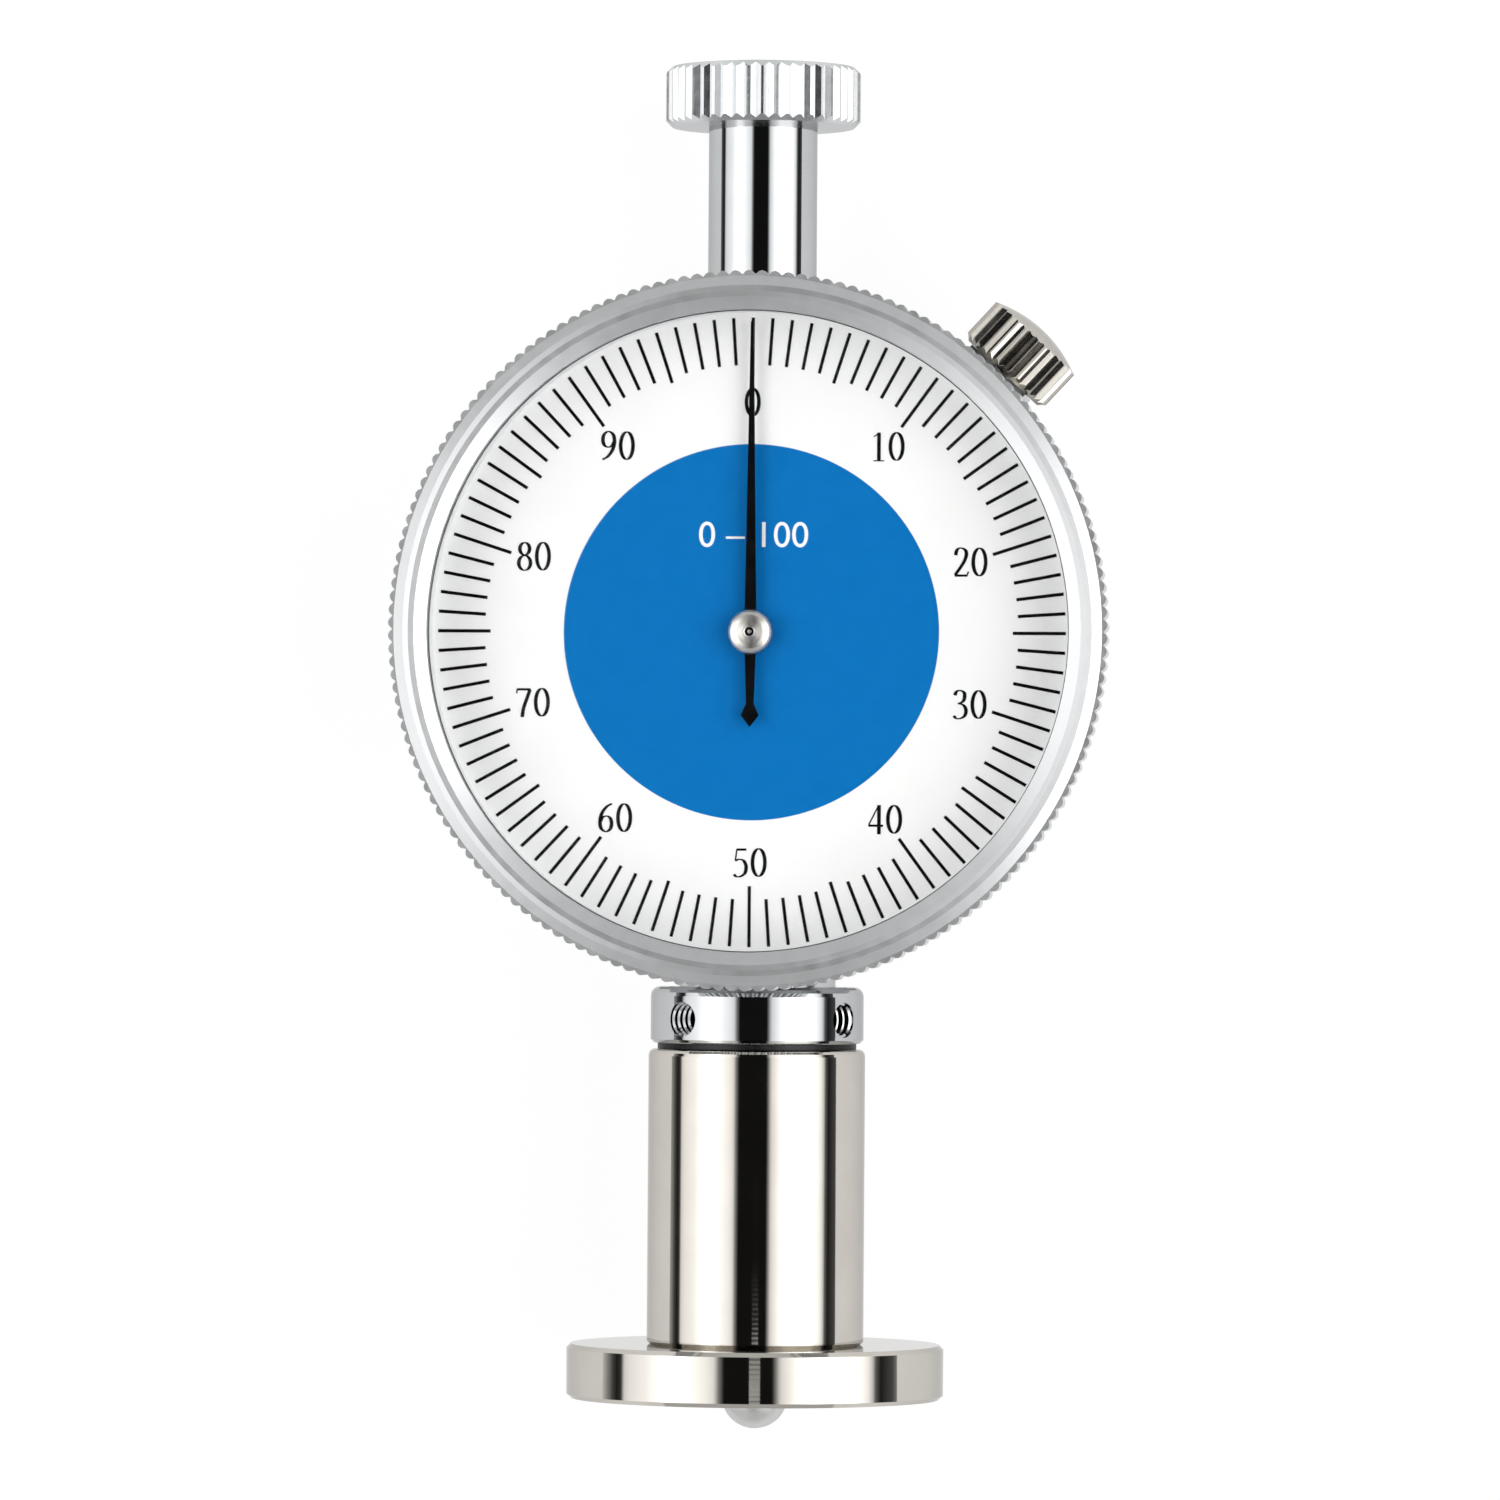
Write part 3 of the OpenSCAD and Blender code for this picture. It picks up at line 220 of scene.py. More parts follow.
# %% Metal finishes
METAL = {"Metallic": 1.0, "Specular Tint": linear("#D8D8D8")}
finishes = {
    # Bright chromium plate over turned brass: sharp, cool reflections
    "chrome_brass": make_finish(
        "polished_chromium_plate", ("#B9BBBD", "#BEC0C1"), (0.03, 0.05), 3.0,
        lines="spindle", line_mm=0.35, line_depth=0.0002, **METAL),
    # Chromium plate over a rolled knurl: its ridges scatter the light
    "knurled_chrome": make_finish(
        "knurled_chromium_plate", ("#D0D2D4", "#D6D8D9"), (0.22, 0.28), 1.0,
        grain_mm=0.2, grain=0.002, **METAL),
    # Nickel plate over turned steel: warm reflections with soft edges
    "nickel_steel": make_finish(
        "polished_nickel_plate", ("#C3BFB8", "#C8C4BD"), (0.035, 0.06), 4.0,
        lines="spindle", line_mm=0.4, line_depth=0.0002, **METAL),
    # Nickel plate over a rolled knurl: warm, with dark grooves
    "knurled_nickel": make_finish(
        "knurled_nickel_plate", ("#C6C1B8", "#CCC8C0"), (0.12, 0.17), 1.0,
        grain_mm=0.2, grain=0.002, **METAL),
    # Chromium plate over a bead-blasted ring: a wide, grey-white glow up to its very edge
    "satin_bezel": make_finish(
        "satin_chromium_plate", ("#CACCCD", "#D0D1D2"), (0.38, 0.44), 1.2,
        grain_mm=0.16, grain=0.003, Metallic=1.0),
    # Chromium plate over a lapped case: fine rings around the dial
    "case_chrome": make_finish(
        "lapped_chromium_plate", ("#C1C3C5", "#C7C8CA"), (0.14, 0.22), 2.5,
        lines="dial", line_mm=0.5, line_depth=0.0012, **METAL),
    # Ground and hardened steel: grey with a bright line
    "ground_steel": make_finish(
        "ground_steel", ("#AFAFAE", "#B8B8B7"), (0.16, 0.24), 1.5,
        lines="spindle", line_mm=0.3, line_depth=0.0008, **METAL),
    # Lapped bearing ball: pale and soft
    "ball_steel": make_finish(
        "lapped_ball_steel", ("#D2D2D1", "#DADAD9"), (0.44, 0.50), 0.8,
        grain_mm=0.12, grain=0.002, **METAL),
    # Turned screw heads: mid grey with a broken shine
    "screw_steel": make_finish(
        "turned_screw_steel", ("#A9A9A8", "#B4B4B3"), (0.22, 0.32), 0.8,
        grain_mm=0.15, grain=0.002, **METAL),
    # Steel blackened in hot salts: nearly black with a dull shine
    "black_steel": make_finish(
        "blackened_steel", ("#2A2A2B", "#383839"), (0.34, 0.46), 0.6,
        grain_mm=0.12, grain=0.003, **METAL),
    # Drawn and tempered wire: brownish grey
    "spring_steel": make_finish(
        "tempered_spring_wire", ("#77756F", "#8A8780"), (0.25, 0.36), 0.7,
        grain_mm=0.1, grain=0.002, **METAL),
    # Hairspring blued over a flame: deep blue with a soft shine
    "blued_steel": make_finish(
        "flame_blued_steel", ("#24386B", "#3A4F8C"), (0.2, 0.3), 0.6,
        grain_mm=0.1, grain=0.001, **METAL),
    # Rolled brass, grained on emery: yellow with a soft shine
    "brass": make_finish(
        "grained_brass", ("#C9A25A", "#D6B26C"), (0.24, 0.36), 1.6,
        grain_mm=0.2, grain=0.003, **METAL),
    # Roots of a tapped thread: dull, and painted dark as the shade deep in a hole
    "tapped_metal_painted_shade": make_finish(
        "tapped_thread_painted_shade", ("#3A3835", "#4A4845"), (0.3, 0.4), 0.5,
        grain_mm=0.1, grain=0.002, **METAL),
    # Turned steel hub: soft, slightly warm
    "hub_steel": make_finish(
        "turned_hub_steel", ("#CFCCC6", "#D8D5D0"), (0.28, 0.34), 0.6,
        lines="dial", line_mm=0.22, line_depth=0.001, **METAL),
}
print(len(finishes), "metal finishes")

# %% [markdown]
# ## Paint, rubber and glass
# The dial is a sprayed and baked white enamel with printed inks, the pointer is lacquered black, and a
# rubber gasket seals the cover. The crystal is a clear sheet. It's drawn as a mostly clear surface, because
# a solid glass block would hold the lamps' light back from the dial.

# %% Paint, rubber and glass finishes
MATTE = {"Specular IOR Level": 0.1}
finishes |= {
    # Sprayed and baked enamel: clean white, with hardly any shine
    "dial_enamel": make_finish(
        "baked_white_enamel", ("#F6F6F5", "#F9F9F8"), (0.42, 0.5), 6.0, grain_mm=0.3, grain=0.001, **MATTE),
    # Moulded nylon: pale and a little waxy
    "spacer_ring": make_finish(
        "moulded_pale_nylon", ("#DEE0E1", "#E6E7E8"), (0.4, 0.5), 2.0, grain_mm=0.3, grain=0.002),
    # Lacquer over blanked steel: an even, deep black
    "pointer_black": make_finish(
        "black_lacquer", ("#050506", "#0A0A0B"), (0.3, 0.42), 1.2, grain_mm=0.2, grain=0.001, **MATTE),
    # Moulded rubber: black and dull
    "gasket_rubber": make_finish(
        "moulded_black_rubber", ("#141414", "#1E1E1E"), (0.6, 0.75), 0.8, grain_mm=0.15, grain=0.006),
    # Moulded rubber with a pale filler: grey and dull, and dark enough to paint the thin line of shade under
    # the bezel's lip
    "seal_rubber_painted_shade": make_finish(
        "grey_rubber_painted_shade", ("#4C4D4E", "#58595A"), (0.55, 0.7), 0.8, grain_mm=0.15, grain=0.004),
    # Float glass: clear, with a faint reflection
    "crystal_glass": make_finish(
        "clear_mineral_glass", ("#F4F8F9", "#F8FAFB"), (0.02, 0.04), 8.0,
        **{"Alpha": 0.03, "Transmission Weight": 1.0}),
    # Ink from a pad printer: solid black with crisp edges
    "black_ink": make_finish(
        "printed_black_ink", ("#050506", "#0A0A0B"), (0.45, 0.55), 0.5, grain_mm=0.1, grain=0.001, **MATTE),
    # Ink from a screen printer: a full, even blue
    "blue_ink": make_finish(
        "printed_blue_ink", ("#016EB6", "#0371BA"), (0.42, 0.5), 1.5, grain_mm=0.2, grain=0.001, **MATTE),
    # Ink from a pad printer: opaque white over the blue
    "white_ink": make_finish(
        "printed_white_ink", ("#F2F4F5", "#F8F9FA"), (0.45, 0.55), 0.5, grain_mm=0.1, grain=0.001, **MATTE),
}
print(len(finishes), "finishes in all")

# %% [markdown]
# ## Dress the CAD nodes
# A CAD node whose shape is right keeps its mesh and only changes its material slot. The list below says
# which finish each solid has on a real gauge.

# %% Assign finishes to CAD nodes
dressed = {
    "chrome_brass": ["stem_collar", "top_tube"],
    "knurled_chrome": ["top_cap"],
    "knurled_nickel": ["clamp_screw"],
    "nickel_steel": ["presser_foot", "column"],
    "satin_bezel": ["bezel"],
    "case_chrome": ["case_body", "back_cover", "clamp_jaw"],
    "ground_steel": [
        "spindle", "centre_arbor", "rack_arbor", "takeup_arbor", "guide_pin", "cock_pillars",
        "plate_pillars", "hairspring_stud"
    ],
    "ball_steel": ["ball_indenter"],
    "screw_steel": ["cover_screws", "plate_screws", "pillar_screws"],
    # The shim ring is blackened steel, and its dark face also paints the shade in the gap under the collar
    "black_steel": ["set_screws", "bezel_ring_wire", "shim_ring"],
    "spring_steel": ["main_spring"],
    "blued_steel": ["hairspring"],
    "brass": [
        "lower_guide_bush", "collar_guide_bush", "upper_guide_bush", "spring_adjuster", "transfer_gear",
        "takeup_gear", "main_plate", "centre_cock", "rear_plate"
    ],
    "gasket_rubber": ["case_gasket"],
    "crystal_glass": ["crystal"],
    "spacer_ring": ["crystal_ring"],
    "dial_enamel": ["dial_face"],
    "pointer_black": ["pointer"],
    "hub_steel": ["pointer_hub"],
}
for finish, names in dressed.items():
    for name in names:
        nodes[name].data.materials.clear()
        nodes[name].data.materials.append(finishes[finish])
undressed = sorted(set(nodes) - {name for names in dressed.values() for name in names})
print("nodes without a finish:", undressed)

# %% [markdown]
# ## From a bmesh to a piece
# New pieces are modelled in dial millimetres with bmesh operators. At the end, the mesh is merged at its
# doubles, its faces are turned outwards, and the dial's matrix puts it in its place, so that the object
# itself stays at the origin.

# %% Finish a piece
SEAM = 0.0005


def make_piece(name, bm, finish, body):
    bmesh.ops.remove_doubles(bm, verts=bm.verts, dist=SEAM)
    bmesh.ops.recalc_face_normals(bm, faces=bm.faces)
    bmesh.ops.transform(bm, matrix=DIAL_MM, verts=bm.verts)
    mesh = bpy.data.meshes.new(name)
    bm.to_mesh(mesh)
    bm.free()
    mesh.materials.append(finishes[finish])
    piece = bpy.data.objects.new(name, mesh)
    bpy.context.scene.collection.objects.link(piece)
    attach(piece, body)
    print(name, len(mesh.polygons), "faces")
    return piece


print("doubles are merged within", SEAM, "mm")

# %% [markdown]
# ## Printed dial
# Ink lies on the enamel as a very thin film. A picture laid on the dial could carry the whole print, but it
# blurs when the camera comes near. So each print is a flat shape, raised by a film's thickness so that it
# never fights with the dial for the same pixel. The blue disc is a ring of faces from the hole in the dial
# to its printed edge: a spun edge makes it perfectly round.

# %% Blue disc
DIAL_FACE = 9.1
INK = 0.02
DIAL_HOLE = 1.3
BLUE_EDGE = 15.45
ROUND_STEPS = 192
FORWARD = Vector((0, 0, 1))


def thicken(bm, thickness):
    grown = bmesh.ops.extrude_face_region(bm, geom=bm.faces[:])["geom"]
    lifted = [part for part in grown if isinstance(part, bmesh.types.BMVert)]
    bmesh.ops.translate(bm, vec=FORWARD * thickness, verts=lifted)


def full_turn(bm, steps, axis=FORWARD, centre=Vector()):
    bmesh.ops.spin(
        bm, geom=bm.verts[:] + bm.edges[:], cent=centre, axis=axis, angle=math.tau, steps=steps,
        use_merge=True, use_duplicate=False
    )


bm = bmesh.new()
inner = bm.verts.new((DIAL_HOLE, 0, DIAL_FACE))
outer = bm.verts.new((BLUE_EDGE, 0, DIAL_FACE))
bm.edges.new((inner, outer))
full_turn(bm, ROUND_STEPS)
thicken(bm, INK)
make_piece("dial_blue_disc", bm, "blue_ink", "bezel_assembly")

# %% [markdown]
# ## Hundred marks
# The scale runs clockwise from the top: a hundred fine marks, longer at every fifth and longest at every
# tenth. An Array modifier could repeat one mark around the dial, but its copies all have one length. So a
# loop stretches a grid square into each mark, moves it out to the edge of the dial and turns it.

# %% Scale marks
MARK_EDGE = 25.85
MARK_WIDTH = 0.27
MARK_LENGTHS = {10: 5.0, 5: 4.35, 1: 3.9}
MARKS = 100
bm = bmesh.new()
for index in range(MARKS):
    length = next(length for every, length in MARK_LENGTHS.items() if index % every == 0)
    place = (
        Matrix.Rotation(-math.tau * index / MARKS, 4, "Z")
        @ Matrix.Translation((0, MARK_EDGE - length / 2, DIAL_FACE))
        @ Matrix.Diagonal((MARK_WIDTH / 2, length / 2, 1, 1))
    )
    bmesh.ops.create_grid(bm, x_segments=1, y_segments=1, size=1, matrix=place)
thicken(bm, INK)
make_piece("dial_marks", bm, "black_ink", "bezel_assembly")

# %% [markdown]
# ## Numerals
# The numerals are narrow book figures with thick stems and thin joins. They could be a font, but a font
# with such figures would have to come from a file. So each one is written as with a broad pen: a short
# edge, the nib, is extruded along a smooth path, and it is wide where the path runs up or down and thin
# where it runs across. Paths are given in a box that is one high, and an arc is centre, radii and angles.

# %% Pen strokes of the figures
FIGURES = {
    "0": [("arc", 0.24, 0.5, 0.185, 0.455, 90, 450)],
    "1": [
        ("line", (0.26, 0.96), (0.26, 0.02)), ("thin", (0.11, 0.82), (0.26, 0.94)),
        ("bar", (0.10, 0.022), (0.42, 0.022))
    ],
    "2": [
        ("line", (0.075, 0.72), (0.12, 0.90), (0.24, 0.96), (0.37, 0.88), (0.39, 0.70), (0.29, 0.43),
         (0.06, 0.06)),
        ("slab", (0.05, 0.045), (0.43, 0.045)), ("thin", (0.42, 0.05), (0.46, 0.18))
    ],
    "3": [
        ("line", (0.08, 0.80), (0.13, 0.92), (0.24, 0.96), (0.36, 0.88), (0.36, 0.68), (0.29, 0.57),
         (0.17, 0.53)),
        ("line", (0.17, 0.53), (0.33, 0.48), (0.41, 0.33), (0.38, 0.13), (0.24, 0.03), (0.12, 0.04),
         (0.05, 0.12))
    ],
    "4": [
        ("line", (0.335, 0.97), (0.335, 0.0)), ("thin", (0.32, 0.95), (0.03, 0.31)),
        ("slab", (0.02, 0.285), (0.46, 0.285))
    ],
    "5": [
        ("slab", (0.13, 0.925), (0.42, 0.925)), ("thin", (0.135, 0.94), (0.09, 0.55)),
        ("line", (0.09, 0.55), (0.20, 0.60), (0.33, 0.56), (0.41, 0.38), (0.38, 0.15), (0.24, 0.03),
         (0.12, 0.03), (0.05, 0.10))
    ],
    "6": [
        ("line", (0.42, 0.965), (0.26, 0.86), (0.12, 0.64), (0.065, 0.38), (0.10, 0.14), (0.24, 0.03),
         (0.37, 0.12), (0.41, 0.30), (0.37, 0.48), (0.26, 0.55), (0.14, 0.50), (0.08, 0.38))
    ],
    "7": [
        ("slab", (0.05, 0.925), (0.45, 0.925)), ("thin", (0.05, 0.94), (0.03, 0.79)),
        ("line", (0.43, 0.92), (0.33, 0.60), (0.24, 0.30), (0.20, 0.0))
    ],
    "8": [("arc", 0.24, 0.745, 0.145, 0.205, 90, 450), ("arc", 0.24, 0.275, 0.175, 0.245, 90, 450)],
    "9": [
        ("line", (0.06, 0.035), (0.22, 0.14), (0.36, 0.36), (0.415, 0.62), (0.38, 0.86), (0.24, 0.97),
         (0.11, 0.88), (0.07, 0.70), (0.11, 0.52), (0.22, 0.45), (0.34, 0.50), (0.40, 0.62))
    ],
}
print(len(FIGURES), "figures")

# %% Smooth path of a stroke
CURVE_STEPS, ARC_STEPS = 6, 40


def between_knots(a, b, c, d, t):
    # The curve runs from b to c, and a and d say how it bends there
    bend = 2 * a - 5 * b + 4 * c - d
    twist = 3 * b - a - 3 * c + d
    return 0.5 * (2 * b + t * (c - a) + t * t * bend + t ** 3 * twist)


def stroke_path(kind, points):
    if kind == "arc":
        x, y, across, high, start, end = points
        turns = [math.radians(start + (end - start) * i / ARC_STEPS) for i in range(ARC_STEPS + 1)]
        return [Vector((x + across * math.cos(a), y + high * math.sin(a), 0)) for a in turns]
    knots = [Vector((x, y, 0)) for x, y in points]
    ends = [2 * knots[0] - knots[1], *knots, 2 * knots[-1] - knots[-2]]
    path = [knots[0]]
    for four in zip(ends, ends[1:], ends[2:], ends[3:]):
        path += [between_knots(*four, i / CURVE_STEPS) for i in range(1, CURVE_STEPS + 1)]
    return path


print(CURVE_STEPS, "steps between knots,", ARC_STEPS, "in an arc")

# %% Write a stroke with the nib
NIB = {
    "line": (0.11, 0.04), "arc": (0.11, 0.04), "thin": (0.045, 0.04), "bar": (0.04, 0.04),
    "slab": (0.06, 0.075)
}
NIB_SWELL = 1.5


def write_stroke(bm, kind, points, place):
    path = stroke_path(kind, points)
    thick, thin = NIB[kind]
    edge = None
    for i, point in enumerate(path):
        way = (path[min(i + 1, len(path) - 1)] - path[max(i - 1, 0)]).normalized()
        half = (thin + (thick - thin) * abs(way.y) ** NIB_SWELL) / 2
        side = Vector((-way.y, way.x, 0)) * half
        spots = (place @ (point - side), place @ (point + side))
        if edge is None:
            edge = bm.edges.new([bm.verts.new(spot) for spot in spots])
            tips = edge.verts[:]
            continue
        grown = bmesh.ops.extrude_edge_only(bm, edges=[edge])["geom"]
        edge = next(part for part in grown if isinstance(part, bmesh.types.BMEdge))
        before = {tip: tip.co.copy() for tip in tips}
        new_tips = [min(edge.verts, key=lambda v, t=tip: (v.co - before[t]).length) for tip in tips]
        for tip, spot in zip(new_tips, spots):
            tip.co = spot
        tips = new_tips


print("a nib of", NIB["line"], "figure heights")

# %% [markdown]
# The figures stand upright around the dial, every tenth mark, and their middles lie on one circle, apart
# from one that the printer set a little higher.

# %% Numerals around the dial
FIGURE_HEIGHT = 2.47
FIGURE_WIDTH = 1.12
FIGURE_STEP = 0.545
FIGURE_HALF = 0.24
FIGURE_CIRCLE = 18.9
FIGURE_NUDGE = {"80": 0.33}
MARKS_PER_FIGURE = 10
bm = bmesh.new()
for mark in range(0, MARKS, MARKS_PER_FIGURE):
    word = str(mark)
    turn = math.radians(90 - 360 * mark / MARKS)
    rise = FIGURE_NUDGE.get(word, 0.0)
    middle = Vector((FIGURE_CIRCLE * math.cos(turn), FIGURE_CIRCLE * math.sin(turn) + rise, DIAL_FACE))
    for spot, figure in enumerate(word):
        shift = (spot - (len(word) - 1) / 2) * FIGURE_STEP - FIGURE_HALF
        place = (
            Matrix.Translation(middle)
            @ Matrix.Diagonal((FIGURE_HEIGHT * FIGURE_WIDTH, FIGURE_HEIGHT, 1, 1))
            @ Matrix.Translation((shift, -0.5, 0))
        )
        for kind, *points in FIGURES[figure]:
            write_stroke(bm, kind, points, place)
thicken(bm, INK)
make_piece("dial_numerals", bm, "black_ink", "bezel_assembly")

# %% [markdown]
# ## The range in white
# The range of the scale is printed in white above the middle, with a long dash, so that the pointer at rest
# hides none of its figures. It is a text object, made a mesh at once, because a plain sans-serif face is
# what Blender carries with it.

# %% Range of the scale
RANGE_HEIGHT = 2.1
CAPITAL_SHARE = 0.7
RANGE_MIDDLE = (0.15, 7.9)
curve = bpy.data.curves.new("range_text", "FONT")
curve.body = "0 \u2013 100"
curve.align_x = "CENTER"
curve.align_y = "CENTER"
curve.resolution_u = 6
curve.size = RANGE_HEIGHT / CAPITAL_SHARE
text = bpy.data.objects.new("range_text", curve)
bpy.context.scene.collection.objects.link(text)
text_mesh = bpy.data.meshes.new_from_object(text.evaluated_get(bpy.context.evaluated_depsgraph_get()))
bpy.data.objects.remove(text)
bm = bmesh.new()
bm.from_mesh(text_mesh)
bpy.data.meshes.remove(text_mesh)
bmesh.ops.translate(bm, vec=(*RANGE_MIDDLE, DIAL_FACE + INK), verts=bm.verts)
thicken(bm, INK)
make_piece("dial_range", bm, "white_ink", "bezel_assembly")

# %% [markdown]
# ## Pointer hub
# The hub is a small turned button with a rounded edge, and a pocket in its middle where the arbor's pivot
# shows. The CAD model has its plain steps. Bevelled cylinders could round them, but a lathe's way gives the
# pocket and the rounding at once: the section is drawn as a closed line of points that starts on the axis,
# and spun around it. The piece takes the place of the CAD hub and turns with the pointer. A thin black ring
# on the pocket's floor is painted shade, the shadow that the small pocket holds.

# %% Turned hub
HUB_SECTION = [
    (0, 11.07), (0.11, 11.05), (0.16, 11.0), (0.17, 10.89), (0.36, 10.89), (0.38, 11.12), (0.42, 11.15),
    (0.5, 11.13), (0.56, 11.05), (1.1, 10.94), (1.38, 10.85), (1.6, 10.72), (1.76, 10.54), (1.84, 10.34),
    (1.86, 10.14), (1.86, 9.6), (1.68, 9.42), (0.47, 9.42), (0.47, 10.87), (0, 10.87)
]
HUB_STEPS = 72


def draw_loop(bm, corners):
    verts = [bm.verts.new(corner) for corner in corners]
    for a, b in zip(verts, verts[1:] + verts[:1]):
        bm.edges.new((a, b))


bm = bmesh.new()
draw_loop(bm, [(r, 0, forward) for r, forward in HUB_SECTION])
full_turn(bm, HUB_STEPS)
hub = make_piece("turned_pointer_hub", bm, "hub_steel", "pointer_assembly")
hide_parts("pointer_hub")

# %% Painted shade in the hub's pocket
POCKET_RING = (0.175, 0.355)
POCKET_FLOOR = 10.9
SMALL_STEPS = 48
bm = bmesh.new()
bm.edges.new([bm.verts.new((r, 0, POCKET_FLOOR)) for r in POCKET_RING])
full_turn(bm, SMALL_STEPS)
thicken(bm, INK)
# The black ring is painted shade on the pocket's floor
make_piece("hub_pocket_painted_shade", bm, "black_steel", "pointer_assembly")

# %% [markdown]
# ## Main spring
# A compression spring is wound from wire: its end turns lie close, and the turns between them stand apart.
# A Screw modifier winds one pitch only. So a round of wire is spun around the spindle in three goes, each
# with its own small rise at every step. The CAD coil is rigid, so this finer one takes its place. It stands
# on the spindle's flange with its top on the adjuster, and it rides with the indenter.

# %% Wound spring
WIRE = 0.6
SPRING_WIDTH = 4.6
SPRING_TURNS = 6.5
END_RISE = 1.05 * WIRE
WIRE_SIDES, TURN_STEPS = 12, 36
SEAT_GAP = 0.02
UPWARD = Vector((0, 1, 0))
coil_heights = [(DIAL_MM.inverted() @ vert.co).y for vert in nodes["main_spring"].data.vertices]
spring_low, spring_high = min(coil_heights) + SEAT_GAP, max(coil_heights) - SEAT_GAP
spring_length = spring_high - spring_low
open_turns = SPRING_TURNS - 2
open_rise = (spring_length - WIRE - 2 * END_RISE) / open_turns
bm = bmesh.new()
bmesh.ops.create_circle(
    bm, cap_ends=True, segments=WIRE_SIDES, radius=WIRE / 2,
    matrix=Matrix.Translation((SPRING_WIDTH / 2, spring_low + WIRE / 2, 0))
)
wire_end = bm.verts[:] + bm.edges[:] + bm.faces[:]
for turns, rise in ((1, END_RISE), (open_turns, open_rise), (1, END_RISE)):
    wire_end = bmesh.ops.spin(
        bm, geom=wire_end, cent=(0, 0, 0), axis=UPWARD, dvec=UPWARD * rise / TURN_STEPS,
        angle=math.tau * turns, steps=round(TURN_STEPS * turns), use_merge=False, use_duplicate=False
    )["geom_last"]
spring = make_piece("wound_main_spring", bm, "spring_steel", "indenter")
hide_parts("main_spring")
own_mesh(spring)

# %% [markdown]
# ## Threads in the set-screw holes
# The collar's two holes are tapped. Down such a hole the roots lie in shade, and the crests show as bright
# arcs. A cut thread climbs as a helix, but in so short a hole plain rings look the same, and they close on
# themselves. So each hole gets a lining painted dark as the shade in the hole, a line spun around the hole's
# axis, and a row of crests, each a small triangle spun around it.

# %% Tapped holes
HOLE_HEIGHT = 33.95 - DIAL_HEIGHT
HOLE_TURNS = {"left": math.radians(-40), "right": math.radians(59)}
THREAD_ROOT, THREAD_CREST, THREAD_PITCH = 1.44, 1.27, 0.6
CREST_HALF = 0.11
LINING = (6.3, 8.45)
FIRST_CREST, CRESTS = 6.6, 4
for side, turn in HOLE_TURNS.items():
    axis = Vector((math.sin(turn), 0, math.cos(turn)))
    foot = Vector((0, HOLE_HEIGHT, 0))
    bm = bmesh.new()
    bm.edges.new([bm.verts.new(foot + axis * reach + Vector((0, THREAD_ROOT, 0))) for reach in LINING])
    full_turn(bm, SMALL_STEPS, axis, foot)
    # The lining's dark colour is painted shade
    make_piece(f"thread_painted_shade_lining_{side}", bm, "tapped_metal_painted_shade", "body")
    bm = bmesh.new()
    for crest in range(CRESTS):
        middle = FIRST_CREST + crest * THREAD_PITCH
        corners = [
            (middle - CREST_HALF, THREAD_ROOT), (middle, THREAD_CREST), (middle + CREST_HALF, THREAD_ROOT)
        ]
        draw_loop(bm, [foot + axis * reach + Vector((0, radius, 0)) for reach, radius in corners])
    full_turn(bm, SMALL_STEPS, axis, foot)
    make_piece(f"thread_crests_{side}", bm, "chrome_brass", "body")

# %% [markdown]
# ## Seal around the crystal
# A thin bead of grey rubber closes the corner between the crystal and the bezel's lip. From the front it's
# a fine dark line that separates the white dial from the bright ring, and its dark grey also paints the thin
# line of shade under the lip. A torus would be round all over, but this bead is pressed flat on the glass,
# so its section is drawn and spun as the hub's was.

# %% Crystal seal
SEAL_SECTION = [(26.28, 12.71), (26.18, 12.71), (26.19, 12.75), (26.23, 12.78), (26.28, 12.79)]
bm = bmesh.new()
draw_loop(bm, [(r, 0, forward) for r, forward in SEAL_SECTION])
full_turn(bm, ROUND_STEPS)
# The bead's dark grey is partly painted shade, the line under the bezel's lip
make_piece("crystal_seal_painted_shade", bm, "seal_rubber_painted_shade", "bezel_assembly")

# %% [markdown]
# ## White card under the gauge
# The gauge lies on a round white card. A plain white floor under soft lamps would render a pale grey, so
# for the camera, and for what metal and glass reflect, the card glows a little and its own shading is
# weaker. Its shadow is still there, as a pale one.

# %% Card's look
CARD_GLOW = 0.88
PAPER_LIT, PAPER_SEEN = 0.8, 0.15


def seen_directly(tree):
    path = add_node(tree, "ShaderNodeLightPath")
    both = add_node(
        tree, "ShaderNodeMath", {"operation": "MAXIMUM"},
        {0: path.outputs["Is Camera Ray"], 1: path.outputs["Is Glossy Ray"]},
    )
    return add_node(
        tree, "ShaderNodeMath", {"operation": "MAXIMUM"},
        {0: both.outputs["Value"], 1: path.outputs["Is Transmission Ray"]},
    ).outputs["Value"]


card_look, tree = new_tree("matte_white_card")
seen = seen_directly(tree)
paper = add_node(
    tree, "ShaderNodeMapRange", {"To Min": PAPER_LIT, "To Max": PAPER_SEEN}, {"Value": seen}
)
glow = add_node(tree, "ShaderNodeMath", {"operation": "MULTIPLY", 1: CARD_GLOW}, {0: seen})
matte = add_node(tree, "ShaderNodeBsdfDiffuse", {}, {"Color": paper.outputs["Result"]})
light = add_node(tree, "ShaderNodeEmission", {}, {"Strength": glow.outputs["Value"]})
both = add_node(
    tree, "ShaderNodeAddShader", {}, {0: matte.outputs["BSDF"], 1: light.outputs["Emission"]}
)
add_node(tree, "ShaderNodeOutputMaterial", {}, {"Surface": both.outputs["Shader"]})
print("card glow", CARD_GLOW)

# %% Card
CARD_RADIUS = 0.15
CARD_THICKNESS = 0.002
CARD_STEPS = 128


def stage_card(name, bm, material, camera_sees=False):
    mesh = bpy.data.meshes.new(name)
    bm.to_mesh(mesh)
    bm.free()
    mesh.materials.append(material)
    panel = bpy.data.objects.new(name, mesh)
    panel.visible_camera = camera_sees
    bpy.context.scene.collection.objects.link(panel)
    print(name, len(mesh.polygons), "faces")


